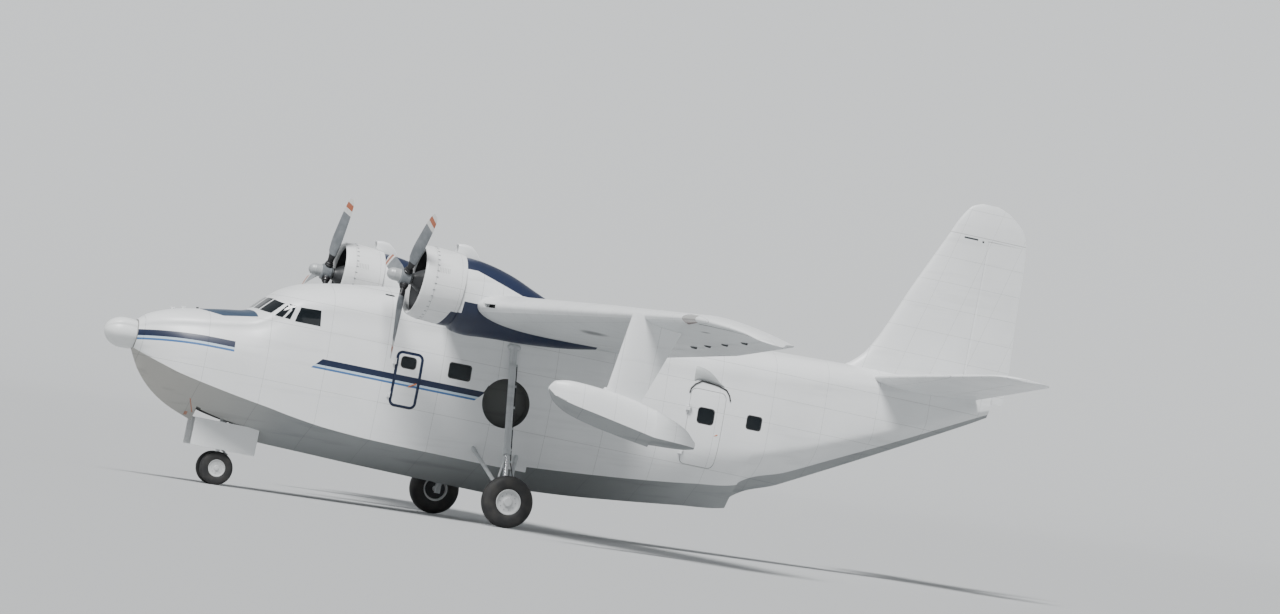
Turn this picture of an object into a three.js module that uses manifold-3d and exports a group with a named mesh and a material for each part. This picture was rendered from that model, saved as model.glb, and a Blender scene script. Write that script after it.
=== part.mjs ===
// Twin-engined amphibian flying boat, parked on its wheels.
// Lengths are millimetres. +X points forward, +Y to port and +Z up, and the ground is z = 0.
// The hull is drawn level: a point is given by its station (distance aft of the nose tip),
// its distance to port and its height over the nose tip. One group then sets the parked attitude.
import * as THREE from 'three';
import { mergeVertices } from 'three/addons/utils/BufferGeometryUtils.js';
import Module from 'manifold-3d';

const wasm = await Module();
wasm.setup();

// Parked attitude
const PITCH = THREE.MathUtils.degToRad(3);
const NOSE_X = 9384;
const NOSE_Z = 2666;

// Gap between two pieces that touch, and running gap round a moving piece
const SEAT = 0.3;
const RUN = 8;

// Hull
const HULL_WALL = 50;
const TAIL_WALL = 35;
const FLOOR_Z = -520;
const RADOME_END = 600;
const RADOME_ROUND = 380;
const RADOME_RADIUS = 290;
const RADOME_Z = 50;
const BOW_END = 5200;
const CENTRE_END = 11000;
const TAIL_END = 18350;
const MAIN_STEP = 8600;
const AFT_STEP = 13200;
const ROOM_START = 2950;
const ROOM_END = 12600;
const BILGE_START = 8800;
const BILGE_END = 12000;
const TAIL_ROOM_END = 17600;

// Engines and propellers
const ENGINE_Y = 3100;
const HUB_S = 4920;
const HUB_Z = 2120;
const THRUST_TILT = THREE.MathUtils.degToRad(3.5);
const PROP_RADIUS = 1675;
const BLADES = 3;
const BLADE_PHASE_PORT = 43.4;
const BLADE_PHASE_STARBOARD = 23.7;
const CYLINDERS = 9;
const COWL_INNER = 700;
const COWL_OUTER = 722;

// Wing
const WING_JOINT = 3900;
const WING_TIP = 14730;
const INCIDENCE = THREE.MathUtils.degToRad(4);
const CAMBER = 0.02;
const WING_WALL = 40;
const WING_BOX_END = 12000;
const WING_BOX_BACK = 0.62;

// Hinge lines of the flaps and ailerons: fraction of the chord, and distances to port of both ends
const FLAP_HINGE = 0.76;
const FLAP_INNER_FROM = 1340;
const FLAP_INNER_TO = 3840;
const FLAP_OUTER_FROM = 3970;
const FLAP_OUTER_TO = 8380;
const AILERON_HINGE = 0.74;
const AILERON_FROM = 8480;
const AILERON_TO = 12900;

// Floats
const FLOAT_Y = 10900;

// Tail
const RUDDER_S = 17680;
const RUDDER_BOTTOM = 2620;
const RUDDER_TOP = 5380;
const ELEVATOR_S = 17200;
const ELEVATOR_ROOT = 420;
const ELEVATOR_TIP = 4300;

// Landing gear
const MAIN_S = 7920;
const MAIN_Y = 2690;
const MAIN_Z = -1745;
const MAIN_RADIUS = 508;
const MAIN_WIDTH = 300;
const MAIN_RIM = 250;
const WELL_S = 7920;
const WELL_Z = 150;
const WELL_RADIUS = 500;
const WELL_DEPTH_Y = 930;
const NOSE_S = 2700;
const NOSE_AXLE_Z = -2198;
const NOSE_RADIUS = 329.7;
const NOSE_WIDTH = 150;
const NOSE_RIM = 170;
const NOSE_TYRE_Y = 165;
const NOSE_BAY_TOP = -960;
const FORK_TOP = -1760;

// Sides of the turned pieces, and a distance that reaches past the hull's or a wing's skin
const COWL_SIDES = 28;
const MAIN_SIDES = 24;
const NOSE_SIDES = 18;
const PAST_HULL = 1500;
const PAST_WING = 600;

// Noses of the hinged surfaces: sides, radius of the hinge pins, and how much wider than the
// nose the bay is, so that the skin behind the nose clears the bay's lips as it turns
const NOSE_STEPS = 14;
const PIN_RADIUS = 12;
const BAY_SHARE = 1.08;

// Rows of a table become objects with the named columns.
function table(columns, rows) {
  return rows.map((row) => Object.fromEntries(columns.map((name, i) => [name, row[i]])));
}

// Hull sections by station: keel, chine, waist, shoulder and top
const FOREBODY = table(
  ['s', 'keel', 'chineZ', 'chineY', 'waistZ', 'waistY', 'shoulderZ', 'shoulderY', 'top'],
  [
    [600, -250, -205, 110, 50, 285, 200, 235, 345],
    [800, -600, -290, 360, 20, 420, 290, 355, 510],
    [1140, -950, -410, 600, 0, 640, 365, 530, 655],
    [1480, -1160, -520, 800, -20, 820, 425, 655, 748],
    [1800, -1290, -590, 905, -50, 930, 470, 745, 805],
    [2260, -1430, -680, 1010, -50, 1030, 540, 820, 885],
    [2720, -1500, -760, 1070, -80, 1100, 640, 870, 965],
    [3040, -1525, -810, 1100, -100, 1130, 800, 930, 1245],
    [3300, -1540, -850, 1125, -100, 1155, 960, 985, 1480],
    [3690, -1555, -920, 1160, -100, 1180, 1090, 1020, 1670],
    [4480, -1575, -1020, 1210, -100, 1225, 1200, 1050, 1840],
    [5370, -1600, -1070, 1220, -100, 1245, 1260, 1070, 1965],
    [6500, -1620, -1090, 1220, -100, 1250, 1330, 1085, 2090],
    [7800, -1640, -1100, 1220, -100, 1250, 1380, 1090, 2160],
    [8600, -1650, -1100, 1220, -100, 1250, 1400, 1090, 2180],
  ],
);
const AFTERBODY = table(
  ['s', 'keel', 'chineZ', 'chineY', 'waistZ', 'waistY', 'shoulderZ', 'shoulderY', 'top'],
  [
    [8602, -1470, -990, 1190, -100, 1250, 1400, 1090, 2180],
    [9800, -1390, -900, 1130, -60, 1235, 1420, 1070, 2205],
    [11000, -1270, -790, 1010, 0, 1190, 1450, 1020, 2230],
    [12200, -1130, -650, 780, 120, 1100, 1500, 950, 2260],
    [13200, -1000, -500, 480, 260, 980, 1560, 860, 2290],
    [13202, -820, -470, 460, 260, 980, 1560, 860, 2290],
    [14200, -330, -60, 360, 520, 830, 1650, 740, 2320],
    [15140, 150, 380, 300, 850, 680, 1740, 610, 2350],
    [16200, 700, 880, 230, 1250, 500, 1860, 450, 2375],
    [17200, 1230, 1370, 160, 1640, 320, 1980, 290, 2395],
    [18000, 1660, 1760, 80, 1930, 170, 2110, 155, 2410],
    [18350, 1860, 1925, 40, 2030, 95, 2170, 85, 2405],
  ],
);

// Wing planform by distance from the centreline
const WING = table(
  ['y', 's', 'z', 'chord', 'thick'],
  [
    [0, 6250, 1860, 3900, 0.17],
    [3900, 6270, 1860, 3850, 0.17],
    [8400, 6970, 1975, 3150, 0.155],
    [12900, 7670, 2077, 1975, 0.1325],
    [13200, 7740, 2065, 1810, 0.13],
    [13800, 7960, 2020, 1370, 0.125],
    [14300, 8230, 1950, 800, 0.12],
    [14600, 8440, 1865, 440, 0.11],
    [14730, 8640, 1835, 140, 0.1],
  ],
);

// Tailplane and fin planforms; the fin's columns are heights
const TAILPLANE = table(
  ['y', 's', 'z', 'chord', 'thick'],
  [
    [0, 15560, 2150, 2440, 0.12],
    [2200, 16100, 2342, 1840, 0.12],
    [4300, 16640, 2526, 1240, 0.11],
    [4560, 16760, 2549, 1060, 0.1],
    [4690, 16940, 2560, 760, 0.09],
    [4720, 17080, 2562, 500, 0.08],
  ],
);
const FIN = table(
  ['z', 's', 'chord', 'thick'],
  [
    [2150, 14750, 3880, 0.095],
    [2350, 15140, 3500, 0.105],
    [2700, 15520, 3130, 0.115],
    [4200, 16230, 2330, 0.115],
    [5400, 16800, 1690, 0.11],
    [5700, 16940, 1450, 0.107],
    [5900, 17065, 1120, 0.103],
    [6040, 17190, 775, 0.1],
    [6120, 17390, 350, 0.09],
  ],
);

// Nacelle sections by station
const NACELLE = table(
  ['s', 'bottom', 'top', 'half'],
  [
    [5860, 1440, 2720, 640],
    [5905, 1418, 2722, 646],
    [5950, 1318, 2726, 657],
    [6080, 1268, 2735, 668],
    [6300, 1250, 2718, 668],
    [6600, 1272, 2668, 654],
    [7000, 1294, 2560, 610],
    [7500, 1310, 2360, 540],
    [8000, 1350, 2160, 440],
    [8500, 1410, 1960, 320],
    [8950, 1490, 1780, 170],
  ],
);

// Wing float sections by station
const FLOAT = table(
  ['s', 'keel', 'chineZ', 'top', 'half'],
  [
    [5890, 350, 385, 420, 25],
    [5990, 195, 290, 545, 120],
    [6300, 10, 190, 600, 245],
    [6800, -120, 95, 575, 305],
    [7400, -225, -15, 500, 315],
    [7930, -300, -110, 385, 285],
    [7932, -262, -112, 392, 285],
    [8560, -228, -135, 155, 150],
    [8806, -180, -150, -60, 40],
  ],
);

// Cabin windows: stations of both ends, sill and head
const CABIN_WINDOWS = table(
  ['from', 'to', 'sill', 'head'],
  [
    [6670, 7110, 440, 730],
    [8900, 9340, 470, 760],
    [10050, 10490, 490, 780],
    [13000, 13300, 640, 900],
  ],
);

// Cockpit side panes by their corners in the side view (station, height), with the distance
// from the centreline that each reaches in to
const SIDE_PANES = [
  { name: 'glass_corner', inner: 880, corners: [[3070, 945], [3370, 925], [3455, 1205], [3320, 1228]] },
  { name: 'glass_side', inner: 700, corners: [[3460, 905], [3975, 905], [3950, 1218], [3545, 1200]] },
];

// Windscreen panes as seen from ahead: distance to port, sill and head of both upright edges
const PANES = table(
  ['name', 'inner', 'innerSill', 'innerHead', 'outer', 'outerSill', 'outerHead'],
  [
    ['glass_front', 35, 1035, 1285, 430, 1020, 1275],
    ['glass_quarter', 485, 1010, 1265, 850, 975, 1215],
  ],
);
const WINDSCREEN_FROM = 2500;
const WINDSCREEN_TO = 3320;

// Both cabin doors are on the port side. Each hangs on two hinges on a vertical line just
// outside its leading edge; the heights are those of the hinges' lower ends.
const DOORS = table(
  ['name', 'from', 'to', 'sill', 'head', 'hingeS', 'hingeY', 'hingeLow', 'hingeHigh', 'reach'],
  [
    ['door_forward', 5580, 6120, -330, 760, 5572, 1266, -180, 480, 90],
    ['door_aft', 11710, 12470, -300, 1220, 11702, 1166, -120, 760, 150],
  ],
);
const DOOR_WINDOWS = table(
  ['door', 'from', 'to', 'sill', 'head'],
  [
    ['door_forward', 5690, 5980, 450, 660],
    ['door_aft', 11920, 12260, 560, 860],
  ],
);
const DOOR_CORNER = 120;
const WINDOW_CORNER = 60;
const HINGE_RADIUS = 14;
const HINGE_HEIGHT = 60;

// Solids

// A closed triangle list becomes a solid; its faces are turned to point out.
function solidFrom(positions, index) {
  const corner = (k) => new THREE.Vector3().fromArray(positions, 3 * index[k]);
  let volume = 0;
  for (let k = 0; k < index.length; k += 3) {
    volume += corner(k).dot(corner(k + 1).cross(corner(k + 2)));
  }
  const tris = [];
  for (let k = 0; k < index.length; k += 3) {
    const [a, b, c] = index.slice(k, k + 3);
    if (a === b || b === c || c === a) continue;
    if (volume > 0) tris.push(a, b, c);
    else tris.push(a, c, b);
  }
  const mesh = new wasm.Mesh({
    numProp: 3,
    vertProperties: new Float32Array(positions),
    triVerts: new Uint32Array(tris),
  });
  return new wasm.Manifold(mesh);
}

// A three.js geometry becomes a solid.
function solidOf(geometry) {
  const bare = geometry.clone();
  bare.deleteAttribute('normal');
  bare.deleteAttribute('uv');
  const merged = mergeVertices(bare, 0.01);
  return solidFrom(Array.from(merged.attributes.position.array), Array.from(merged.index.array));
}

// A solid becomes a three.js geometry.
function geometryOf(solid) {
  const mesh = solid.getMesh();
  const geometry = new THREE.BufferGeometry();
  geometry.setAttribute('position', new THREE.BufferAttribute(mesh.vertProperties, 3));
  geometry.setIndex(new THREE.BufferAttribute(mesh.triVerts, 1));
  geometry.computeVertexNormals();
  return geometry;
}

// The largest body of a solid, without the slivers that a cut leaves
function largest(solid) {
  const bodies = solid.decompose();
  return bodies.reduce((best, body) => (body.volume() > best.volume() ? body : best));
}

function union(solids) {
  return solids.reduce((sum, solid) => sum.add(solid));
}

function mirrored(solid) {
  return solid.mirror([0, 1, 0]);
}

// Point at a station, a distance to port and a height
function at(s, y, z) {
  return new THREE.Vector3(-s, y, z);
}

// Skin through rings with the same number of points, closed by flat ends
function loft(rings) {
  const count = rings[0].length;
  const positions = rings.flat().flatMap((p) => [p.x, p.y, p.z]);
  const index = [];
  for (let i = 0; i + 1 < rings.length; i += 1) {
    for (let j = 0; j < count; j += 1) {
      const a = i * count + j;
      const b = i * count + ((j + 1) % count);
      index.push(a, b, b + count, a, b + count, a + count);
    }
  }
  const endFaces = (ring) => {
    const spread = new THREE.Box3().setFromPoints(ring).getSize(new THREE.Vector3());
    const thin = [spread.x, spread.y, spread.z].indexOf(Math.min(spread.x, spread.y, spread.z));
    const flat = ring.map((p) => new THREE.Vector2(thin === 0 ? p.y : p.x, thin === 2 ? p.y : p.z));
    return THREE.ShapeUtils.triangulateShape(flat, []).map((face) => face.sort((a, b) => a - b));
  };
  const last = (rings.length - 1) * count;
  for (const [a, b, c] of endFaces(rings[0])) index.push(c, b, a);
  for (const [a, b, c] of endFaces(rings[rings.length - 1])) {
    index.push(last + a, last + b, last + c);
  }
  return solidFrom(positions, index);
}

// Row of a table at any value of its first column, without overshoot between rows
function rowAt(rows, value) {
  const key = Object.keys(rows[0])[0];
  const last = rows.length - 1;
  let i = 0;
  while (i < last - 1 && rows[i + 1][key] <= value) i += 1;
  const span = rows[i + 1][key] - rows[i][key];
  const t = (value - rows[i][key]) / span;
  const slope = (k, name) => {
    const [low, high] = [rows[k], rows[k + 1]];
    return (high[name] - low[name]) / (high[key] - low[key]);
  };
  const tangent = (k, name) => {
    if (k === 0) return slope(0, name);
    if (k === last) return slope(last - 1, name);
    const before = slope(k - 1, name);
    const after = slope(k, name);
    return before * after <= 0 ? 0 : (2 * before * after) / (before + after);
  };
  const row = { [key]: value };
  for (const name of Object.keys(rows[0])) {
    if (name === key) continue;
    const [p, q] = [rows[i][name], rows[i + 1][name]];
    const [m, n] = [tangent(i, name) * span, tangent(i + 1, name) * span];
    row[name] = p + m * t + (3 * (q - p) - 2 * m - n) * t * t + (2 * (p - q) + m + n) * t * t * t;
  }
  return row;
}

// Straight tube between two points
function tube(from, to, radius, sides = 12, endRadius = radius) {
  const length = from.distanceTo(to);
  const geometry = new THREE.CylinderGeometry(endRadius, radius, length, sides);
  const turn = new THREE.Quaternion().setFromUnitVectors(
    new THREE.Vector3(0, 1, 0),
    to.clone().sub(from).normalize(),
  );
  geometry.applyQuaternion(turn);
  const middle = from.clone().add(to).multiplyScalar(0.5);
  geometry.translate(middle.x, middle.y, middle.z);
  return solidOf(geometry);
}

// Turned body about the X axis: the profile's x is the radius, its y the distance forward.
function turnedX(profile, sides) {
  const geometry = new THREE.LatheGeometry(profile.map(([r, x]) => new THREE.Vector2(r, x)), sides);
  geometry.rotateZ(-Math.PI / 2);
  return solidOf(geometry);
}

// Turned body about the Y axis: the profile's x is the radius, its y the distance to port.
function turnedY(profile, sides) {
  return solidOf(new THREE.LatheGeometry(profile.map(([r, y]) => new THREE.Vector2(r, y)), sides));
}

// Box between two stations, two distances to port and two heights
function block(s0, s1, y0, y1, z0, z1) {
  const geometry = new THREE.BoxGeometry(s1 - s0, y1 - y0, z1 - z0);
  geometry.translate(-(s0 + s1) / 2, (y0 + y1) / 2, (z0 + z1) / 2);
  return solidOf(geometry);
}

// Rectangle with round corners in the side view, drawn in by a margin, from y0 to y1
function sidePanel(area, margin, radius, y0, y1) {
  const [s0, s1] = [area.from + margin, area.to - margin];
  const [z0, z1] = [area.sill + margin, area.head - margin];
  const shape = new THREE.Shape();
  shape.moveTo(s0 + radius, z0);
  shape.lineTo(s1 - radius, z0);
  shape.quadraticCurveTo(s1, z0, s1, z0 + radius);
  shape.lineTo(s1, z1 - radius);
  shape.quadraticCurveTo(s1, z1, s1 - radius, z1);
  shape.lineTo(s0 + radius, z1);
  shape.quadraticCurveTo(s0, z1, s0, z1 - radius);
  shape.lineTo(s0, z0 + radius);
  shape.quadraticCurveTo(s0, z0, s0 + radius, z0);
  const geometry = new THREE.ExtrudeGeometry(shape, {
    depth: y1 - y0,
    bevelEnabled: false,
    curveSegments: 3,
  });
  geometry.rotateX(Math.PI / 2);
  geometry.translate(0, y1, 0);
  geometry.scale(-1, 1, 1);
  return solidOf(geometry);
}

// Hull

const SKIN_STEPS = { bottom: 3, side: 2, top: 5 };
const HOLLOW_STEPS = { bottom: 1, side: 1, top: 4 };

// Port half of a hull section from keel to top as [y, z] pairs
function halfSection(row, steps) {
  const points = [[0, row.keel]];
  for (let i = 1; i <= steps.bottom; i += 1) {
    const t = i / steps.bottom;
    const rise = 1.25 * t - 0.25 * t * t;
    points.push([row.chineY * t, row.keel + (row.chineZ - row.keel) * rise]);
  }
  for (let i = 1; i <= steps.side; i += 1) {
    const t = i / steps.side;
    const bow = Math.sin((t * Math.PI) / 2);
    points.push([
      row.chineY + (row.waistY - row.chineY) * bow,
      row.chineZ + (row.waistZ - row.chineZ) * t,
    ]);
  }
  for (let i = 1; i <= steps.side; i += 1) {
    const t = i / steps.side;
    points.push([
      row.waistY + (row.shoulderY - row.waistY) * t * t,
      row.waistZ + (row.shoulderZ - row.waistZ) * t,
    ]);
  }
  for (let i = 1; i <= steps.top; i += 1) {
    const a = (i / steps.top) * (Math.PI / 2);
    const y = row.shoulderY * Math.cos(a) ** 0.9;
    const z = row.shoulderZ + (row.top - row.shoulderZ) * Math.sin(a) ** 0.9;
    points.push([i === steps.top ? 0 : y, z]);
  }
  return points;
}

function ringOf(s, half) {
  const port = half.map(([y, z]) => at(s, y, z));
  const starboard = half.slice(1, -1).reverse().map(([y, z]) => at(s, -y, z));
  return port.concat(starboard);
}

function hullRow(s) {
  return rowAt(s <= MAIN_STEP ? FOREBODY : AFTERBODY, s);
}

// Outer hull between two stations, grown by a margin
function hullBody(from, to, grow = 0) {
  const stations = [from];
  for (const row of FOREBODY.concat(AFTERBODY)) {
    if (row.s > from + 20 && row.s < to - 1) stations.push(row.s);
  }
  stations.push(to);
  return loft(stations.map((s, i) => {
    const row = hullRow(s);
    row.keel -= 2 * grow;
    row.top += 2 * grow;
    row.chineY += 2 * grow;
    row.waistY += 2 * grow;
    row.shoulderY += 2 * grow;
    const ends = i === 0 ? -grow : i === stations.length - 1 ? grow : 0;
    return ringOf(s + ends, halfSection(row, SKIN_STEPS));
  }));
}

// Hollow of the hull between two stations; shape gives its section from the hull's own row.
// At each step of the bottom it follows the smaller of the two sections.
function hullHollow(from, to, shape) {
  const stations = [from];
  for (const row of FOREBODY.concat(AFTERBODY)) {
    const larger = row.s === MAIN_STEP + 2 || row.s === AFT_STEP;
    if (row.s > from + 20 && row.s < to - 20 && !larger) stations.push(row.s);
  }
  stations.push(to);
  return loft(stations.map((s) => ringOf(s, halfSection(shape(hullRow(s)), HOLLOW_STEPS))));
}

// Half width of the hull at the floor's height
function floorHalf(row) {
  const share = (FLOOR_Z - row.chineZ) / ((row.waistZ - row.chineZ) / 2);
  return row.chineY + (row.waistY - row.chineY) * Math.sin(Math.PI / 4) * share;
}

// Room over the flat floor
function room(row) {
  return {
    keel: FLOOR_Z,
    chineZ: FLOOR_Z,
    chineY: Math.min(row.waistY - HULL_WALL - 60, floorHalf(row) - HULL_WALL - 40),
    waistZ: Math.max(row.waistZ, FLOOR_Z + 100),
    waistY: row.waistY - HULL_WALL,
    shoulderZ: row.shoulderZ - 20,
    shoulderY: row.shoulderY - HULL_WALL,
    top: row.top - HULL_WALL,
  };
}

// Bilge under the floor, aft of the main step
function bilge(row) {
  const lid = FLOOR_Z - HULL_WALL;
  return {
    keel: row.keel + HULL_WALL + 20,
    chineZ: row.chineZ + HULL_WALL,
    chineY: row.chineY - HULL_WALL,
    waistZ: (row.chineZ + HULL_WALL + lid) / 2,
    waistY: row.chineY - HULL_WALL + 10,
    shoulderZ: lid - 2,
    shoulderY: row.chineY - HULL_WALL,
    top: lid,
  };
}

// Tail cone, hollow down to its keel
function tailRoom(row) {
  return {
    keel: row.keel + TAIL_WALL + 50,
    chineZ: row.chineZ + TAIL_WALL * 1.2,
    chineY: row.chineY - TAIL_WALL,
    waistZ: row.waistZ,
    waistY: row.waistY - TAIL_WALL,
    shoulderZ: row.shoulderZ - TAIL_WALL / 2,
    shoulderY: row.shoulderY - TAIL_WALL,
    top: row.top - TAIL_WALL,
  };
}

// Wings and tail surfaces

const FOIL_STEPS = 10;

// Half thickness of a foil of unit chord and thickness at a fraction of its chord
function halfThickness(x) {
  const front = 0.2969 * Math.sqrt(x) - 0.126 * x;
  return 5 * (front - 0.3516 * x ** 2 + 0.2843 * x ** 3 - 0.1015 * x ** 4);
}

// Closed foil outline of unit chord as [x, z] pairs, from the tail over the top and back
function foil(thick, camber) {
  const line = (x) => 4 * camber * x * (1 - x);
  const points = [];
  for (let i = 0; i <= FOIL_STEPS; i += 1) {
    const x = (1 + Math.cos((Math.PI * i) / FOIL_STEPS)) / 2;
    points.push([x, line(x) + thick * halfThickness(x)]);
  }
  for (let i = 1; i <= FOIL_STEPS; i += 1) {
    const x = (1 - Math.cos((Math.PI * i) / FOIL_STEPS)) / 2;
    points.push([x, line(x) - thick * halfThickness(x)]);
  }
  return points;
}

// Foil ring in the plane of constant y, pushed out by a margin
function wingRing(row, incidence, camber, grow) {
  return foil(row.thick, camber).map(([x, z], i) => {
    const along = x * row.chord + (x > 0.5 ? grow : -grow);
    const up = z * row.chord + Math.sign(FOIL_STEPS - i) * grow;
    const s = row.s + along * Math.cos(incidence) + up * Math.sin(incidence);
    return at(s, row.y, row.z - along * Math.sin(incidence) + up * Math.cos(incidence));
  });
}

function wingSpan(from, to, grow = 0, rows = WING, incidence = INCIDENCE, camber = CAMBER) {
  const stations = [from];
  for (const row of rows) if (row.y > from + 1 && row.y < to - 1) stations.push(row.y);
  stations.push(to);
  return loft(stations.map((y) => wingRing(linearRow(rows, y), incidence, camber, grow)));
}

// Row of a table by straight lines between its rows
function linearRow(rows, value) {
  const key = Object.keys(rows[0])[0];
  let i = 0;
  while (i < rows.length - 2 && rows[i + 1][key] <= value) i += 1;
  const t = (value - rows[i][key]) / (rows[i + 1][key] - rows[i][key]);
  const row = {};
  for (const name of Object.keys(rows[0])) {
    row[name] = rows[i][name] + (rows[i + 1][name] - rows[i][name]) * t;
  }
  return row;
}

// Point of the wing's camber line at a fraction of the chord
function wingPoint(y, fraction) {
  const row = linearRow(WING, y);
  const along = fraction * row.chord;
  const up = 4 * CAMBER * fraction * (1 - fraction) * row.chord;
  const s = row.s + along * Math.cos(INCIDENCE) + up * Math.sin(INCIDENCE);
  return at(s, y, row.z - along * Math.sin(INCIDENCE) + up * Math.cos(INCIDENCE));
}

// Radius that fits inside a foil round a point at a station and a height
function foilRoom(row, incidence, camber, s, z) {
  const along = (s - row.s) * Math.cos(incidence) - (z - row.z) * Math.sin(incidence);
  const up = (s - row.s) * Math.sin(incidence) + (z - row.z) * Math.cos(incidence);
  const x = along / row.chord;
  const middle = 4 * camber * x * (1 - x) * row.chord;
  return row.thick * halfThickness(x) * row.chord - Math.abs(up - middle);
}

// Straight hinge line as evenly spaced points, each with the radius that fits inside the foil
function hingeLine(start, end, roomAt) {
  return [0, 1 / 3, 2 / 3, 1].map((t) => {
    const point = start.clone().lerp(end, t);
    return { point, room: roomAt(point) };
  });
}

// Outline of the hollow inside a foil, between two fractions of its chord, as [x, z] pairs
function foilHollow(row, camber, wall, back) {
  const stops = [0.05, 0.14, 0.28, 0.45, back];
  const line = (x) => 4 * camber * x * (1 - x) * row.chord;
  const half = (x) => row.thick * halfThickness(x) * row.chord - wall;
  const top = stops.map((x) => [x * row.chord, line(x) + half(x)]).reverse();
  const bottom = stops.map((x) => [x * row.chord, line(x) - half(x)]);
  return top.concat(bottom);
}

// Hollow inside a wing, open where it meets its neighbour
function wingHollow(stations) {
  return loft(stations.map((y) => {
    const row = linearRow(WING, Math.max(y, 0));
    return foilHollow(row, CAMBER, WING_WALL, WING_BOX_BACK).map(([x, z]) => at(
      row.s + x * Math.cos(INCIDENCE) + z * Math.sin(INCIDENCE),
      y,
      row.z - x * Math.sin(INCIDENCE) + z * Math.cos(INCIDENCE),
    ));
  }));
}

// A surface that turns about a hinge line, and its bay. The surface's nose is round about the
// line, its ends stand square to it, and a pin at each end reaches the bay's walls.
function hinged(body, line, aside) {
  const [first, last] = [line[0].point, line[line.length - 1].point];
  const along = last.clone().sub(first).normalize();
  const across = aside.clone().addScaledVector(along, -aside.dot(along)).normalize();
  const aft = across.clone().cross(along);
  if (aft.x > 0) aft.negate();
  const corner = (point, side, back) => (
    point.clone().addScaledVector(across, side * PAST_WING).addScaledVector(aft, back)
  );
  const circle = (point, radius) => Array.from({ length: NOSE_STEPS }, (_, i) => {
    const a = (2 * Math.PI * i) / NOSE_STEPS;
    const side = point.clone().addScaledVector(across, radius * Math.cos(a));
    return side.addScaledVector(aft, radius * Math.sin(a));
  });
  const region = (radiusOf, overrun) => {
    const stops = line.map(({ point, room }, i) => {
      const end = (i === line.length - 1) - (i === 0);
      return { point: point.clone().addScaledVector(along, end * overrun), radius: radiusOf(room) };
    });
    const behind = loft([stops[0], stops[stops.length - 1]].map(({ point }) => [
      corner(point, -1, 0),
      corner(point, -1, PAST_HULL),
      corner(point, 1, PAST_HULL),
      corner(point, 1, 0),
    ]));
    return behind.add(loft(stops.map(({ point, radius }) => circle(point, radius))));
  };
  const pinReach = RUN - 2.5 * SEAT;
  const pin = tube(
    first.clone().addScaledVector(along, -pinReach),
    last.clone().addScaledVector(along, pinReach),
    PIN_RADIUS,
    12,
  );
  return {
    surface: largest(body.intersect(region((room) => room - 3, 0))).add(pin),
    bay: region((room) => room * BAY_SHARE + RUN, RUN),
  };
}

// Nodes

const aircraft = new THREE.Group();
aircraft.rotation.y = -PITCH;
aircraft.position.set(NOSE_X, 0, NOSE_Z);

function material(color, roughness, metalness = 0) {
  return new THREE.MeshStandardMaterial({ color, roughness, metalness });
}
const WHITE = material(0xeceeee, 0.4);
const GREY = material(0x8f959b, 0.5);
const NAVY = material(0x1c2a4a, 0.45);
const STEEL = material(0x9a9ea2, 0.35, 0.8);
const DARK = material(0x33363a, 0.6, 0.4);
const RUBBER = material(0x1b1b1c, 0.85);
const GLASS = material(0x2a3338, 0.1);

function node(name, solid, finish, place = null) {
  const mesh = new THREE.Mesh(geometryOf(solid), finish);
  mesh.name = name;
  if (place) place(mesh);
  aircraft.add(mesh);
  return mesh;
}

// A piece to port and its mirror image to starboard
function pair(name, solid, finish) {
  node(`${name}_port`, solid, finish);
  node(`${name}_starboard`, mirrored(solid), finish);
}

// Wing
const UP = new THREE.Vector3(0, 0, 1);
const wingRoom = (point) => (
  foilRoom(linearRow(WING, point.y), INCIDENCE, CAMBER, -point.x, point.z)
);
const onWing = (body, from, to, fraction) => (
  hinged(body, hingeLine(wingPoint(from, fraction), wingPoint(to, fraction), wingRoom), UP)
);
const innerWing = wingSpan(0, WING_JOINT);
const outerWing = wingSpan(WING_JOINT + SEAT, WING_TIP);
const flapInner = onWing(innerWing, FLAP_INNER_FROM, FLAP_INNER_TO, FLAP_HINGE);
const flapOuter = onWing(outerWing, FLAP_OUTER_FROM, FLAP_OUTER_TO, FLAP_HINGE);
const aileron = onWing(outerWing, AILERON_FROM, AILERON_TO, AILERON_HINGE);
const innerBox = wingHollow([-1, WING_JOINT + 1]);
const outerBox = wingHollow([WING_JOINT - 1, 8400, WING_BOX_END]);
const centreHalf = innerWing.subtract(flapInner.bay).subtract(innerBox);
node('wing_centre', centreHalf.add(mirrored(centreHalf)), WHITE);
const outerSkin = outerWing.subtract(flapOuter.bay).subtract(aileron.bay);
pair('wing', largest(outerSkin.subtract(outerBox)), WHITE);
pair('flap_inner', flapInner.surface, WHITE);
pair('flap_outer', flapOuter.surface, WHITE);
pair('aileron', aileron.surface, WHITE);

// Hull shells
const wingHole = wingSpan(0, WING_JOINT, SEAT);
const wingCut = wingHole.add(mirrored(wingHole));
const cabin = hullHollow(ROOM_START, ROOM_END, room);
const underFloor = hullHollow(BILGE_START, BILGE_END, bilge);
const tailCone = hullHollow(ROOM_END - HULL_WALL, TAIL_ROOM_END, tailRoom);
const hollow = union([cabin, underFloor, tailCone]);
const noseBay = block(2050, 3380, -300, 300, -1700, NOSE_BAY_TOP);

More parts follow.
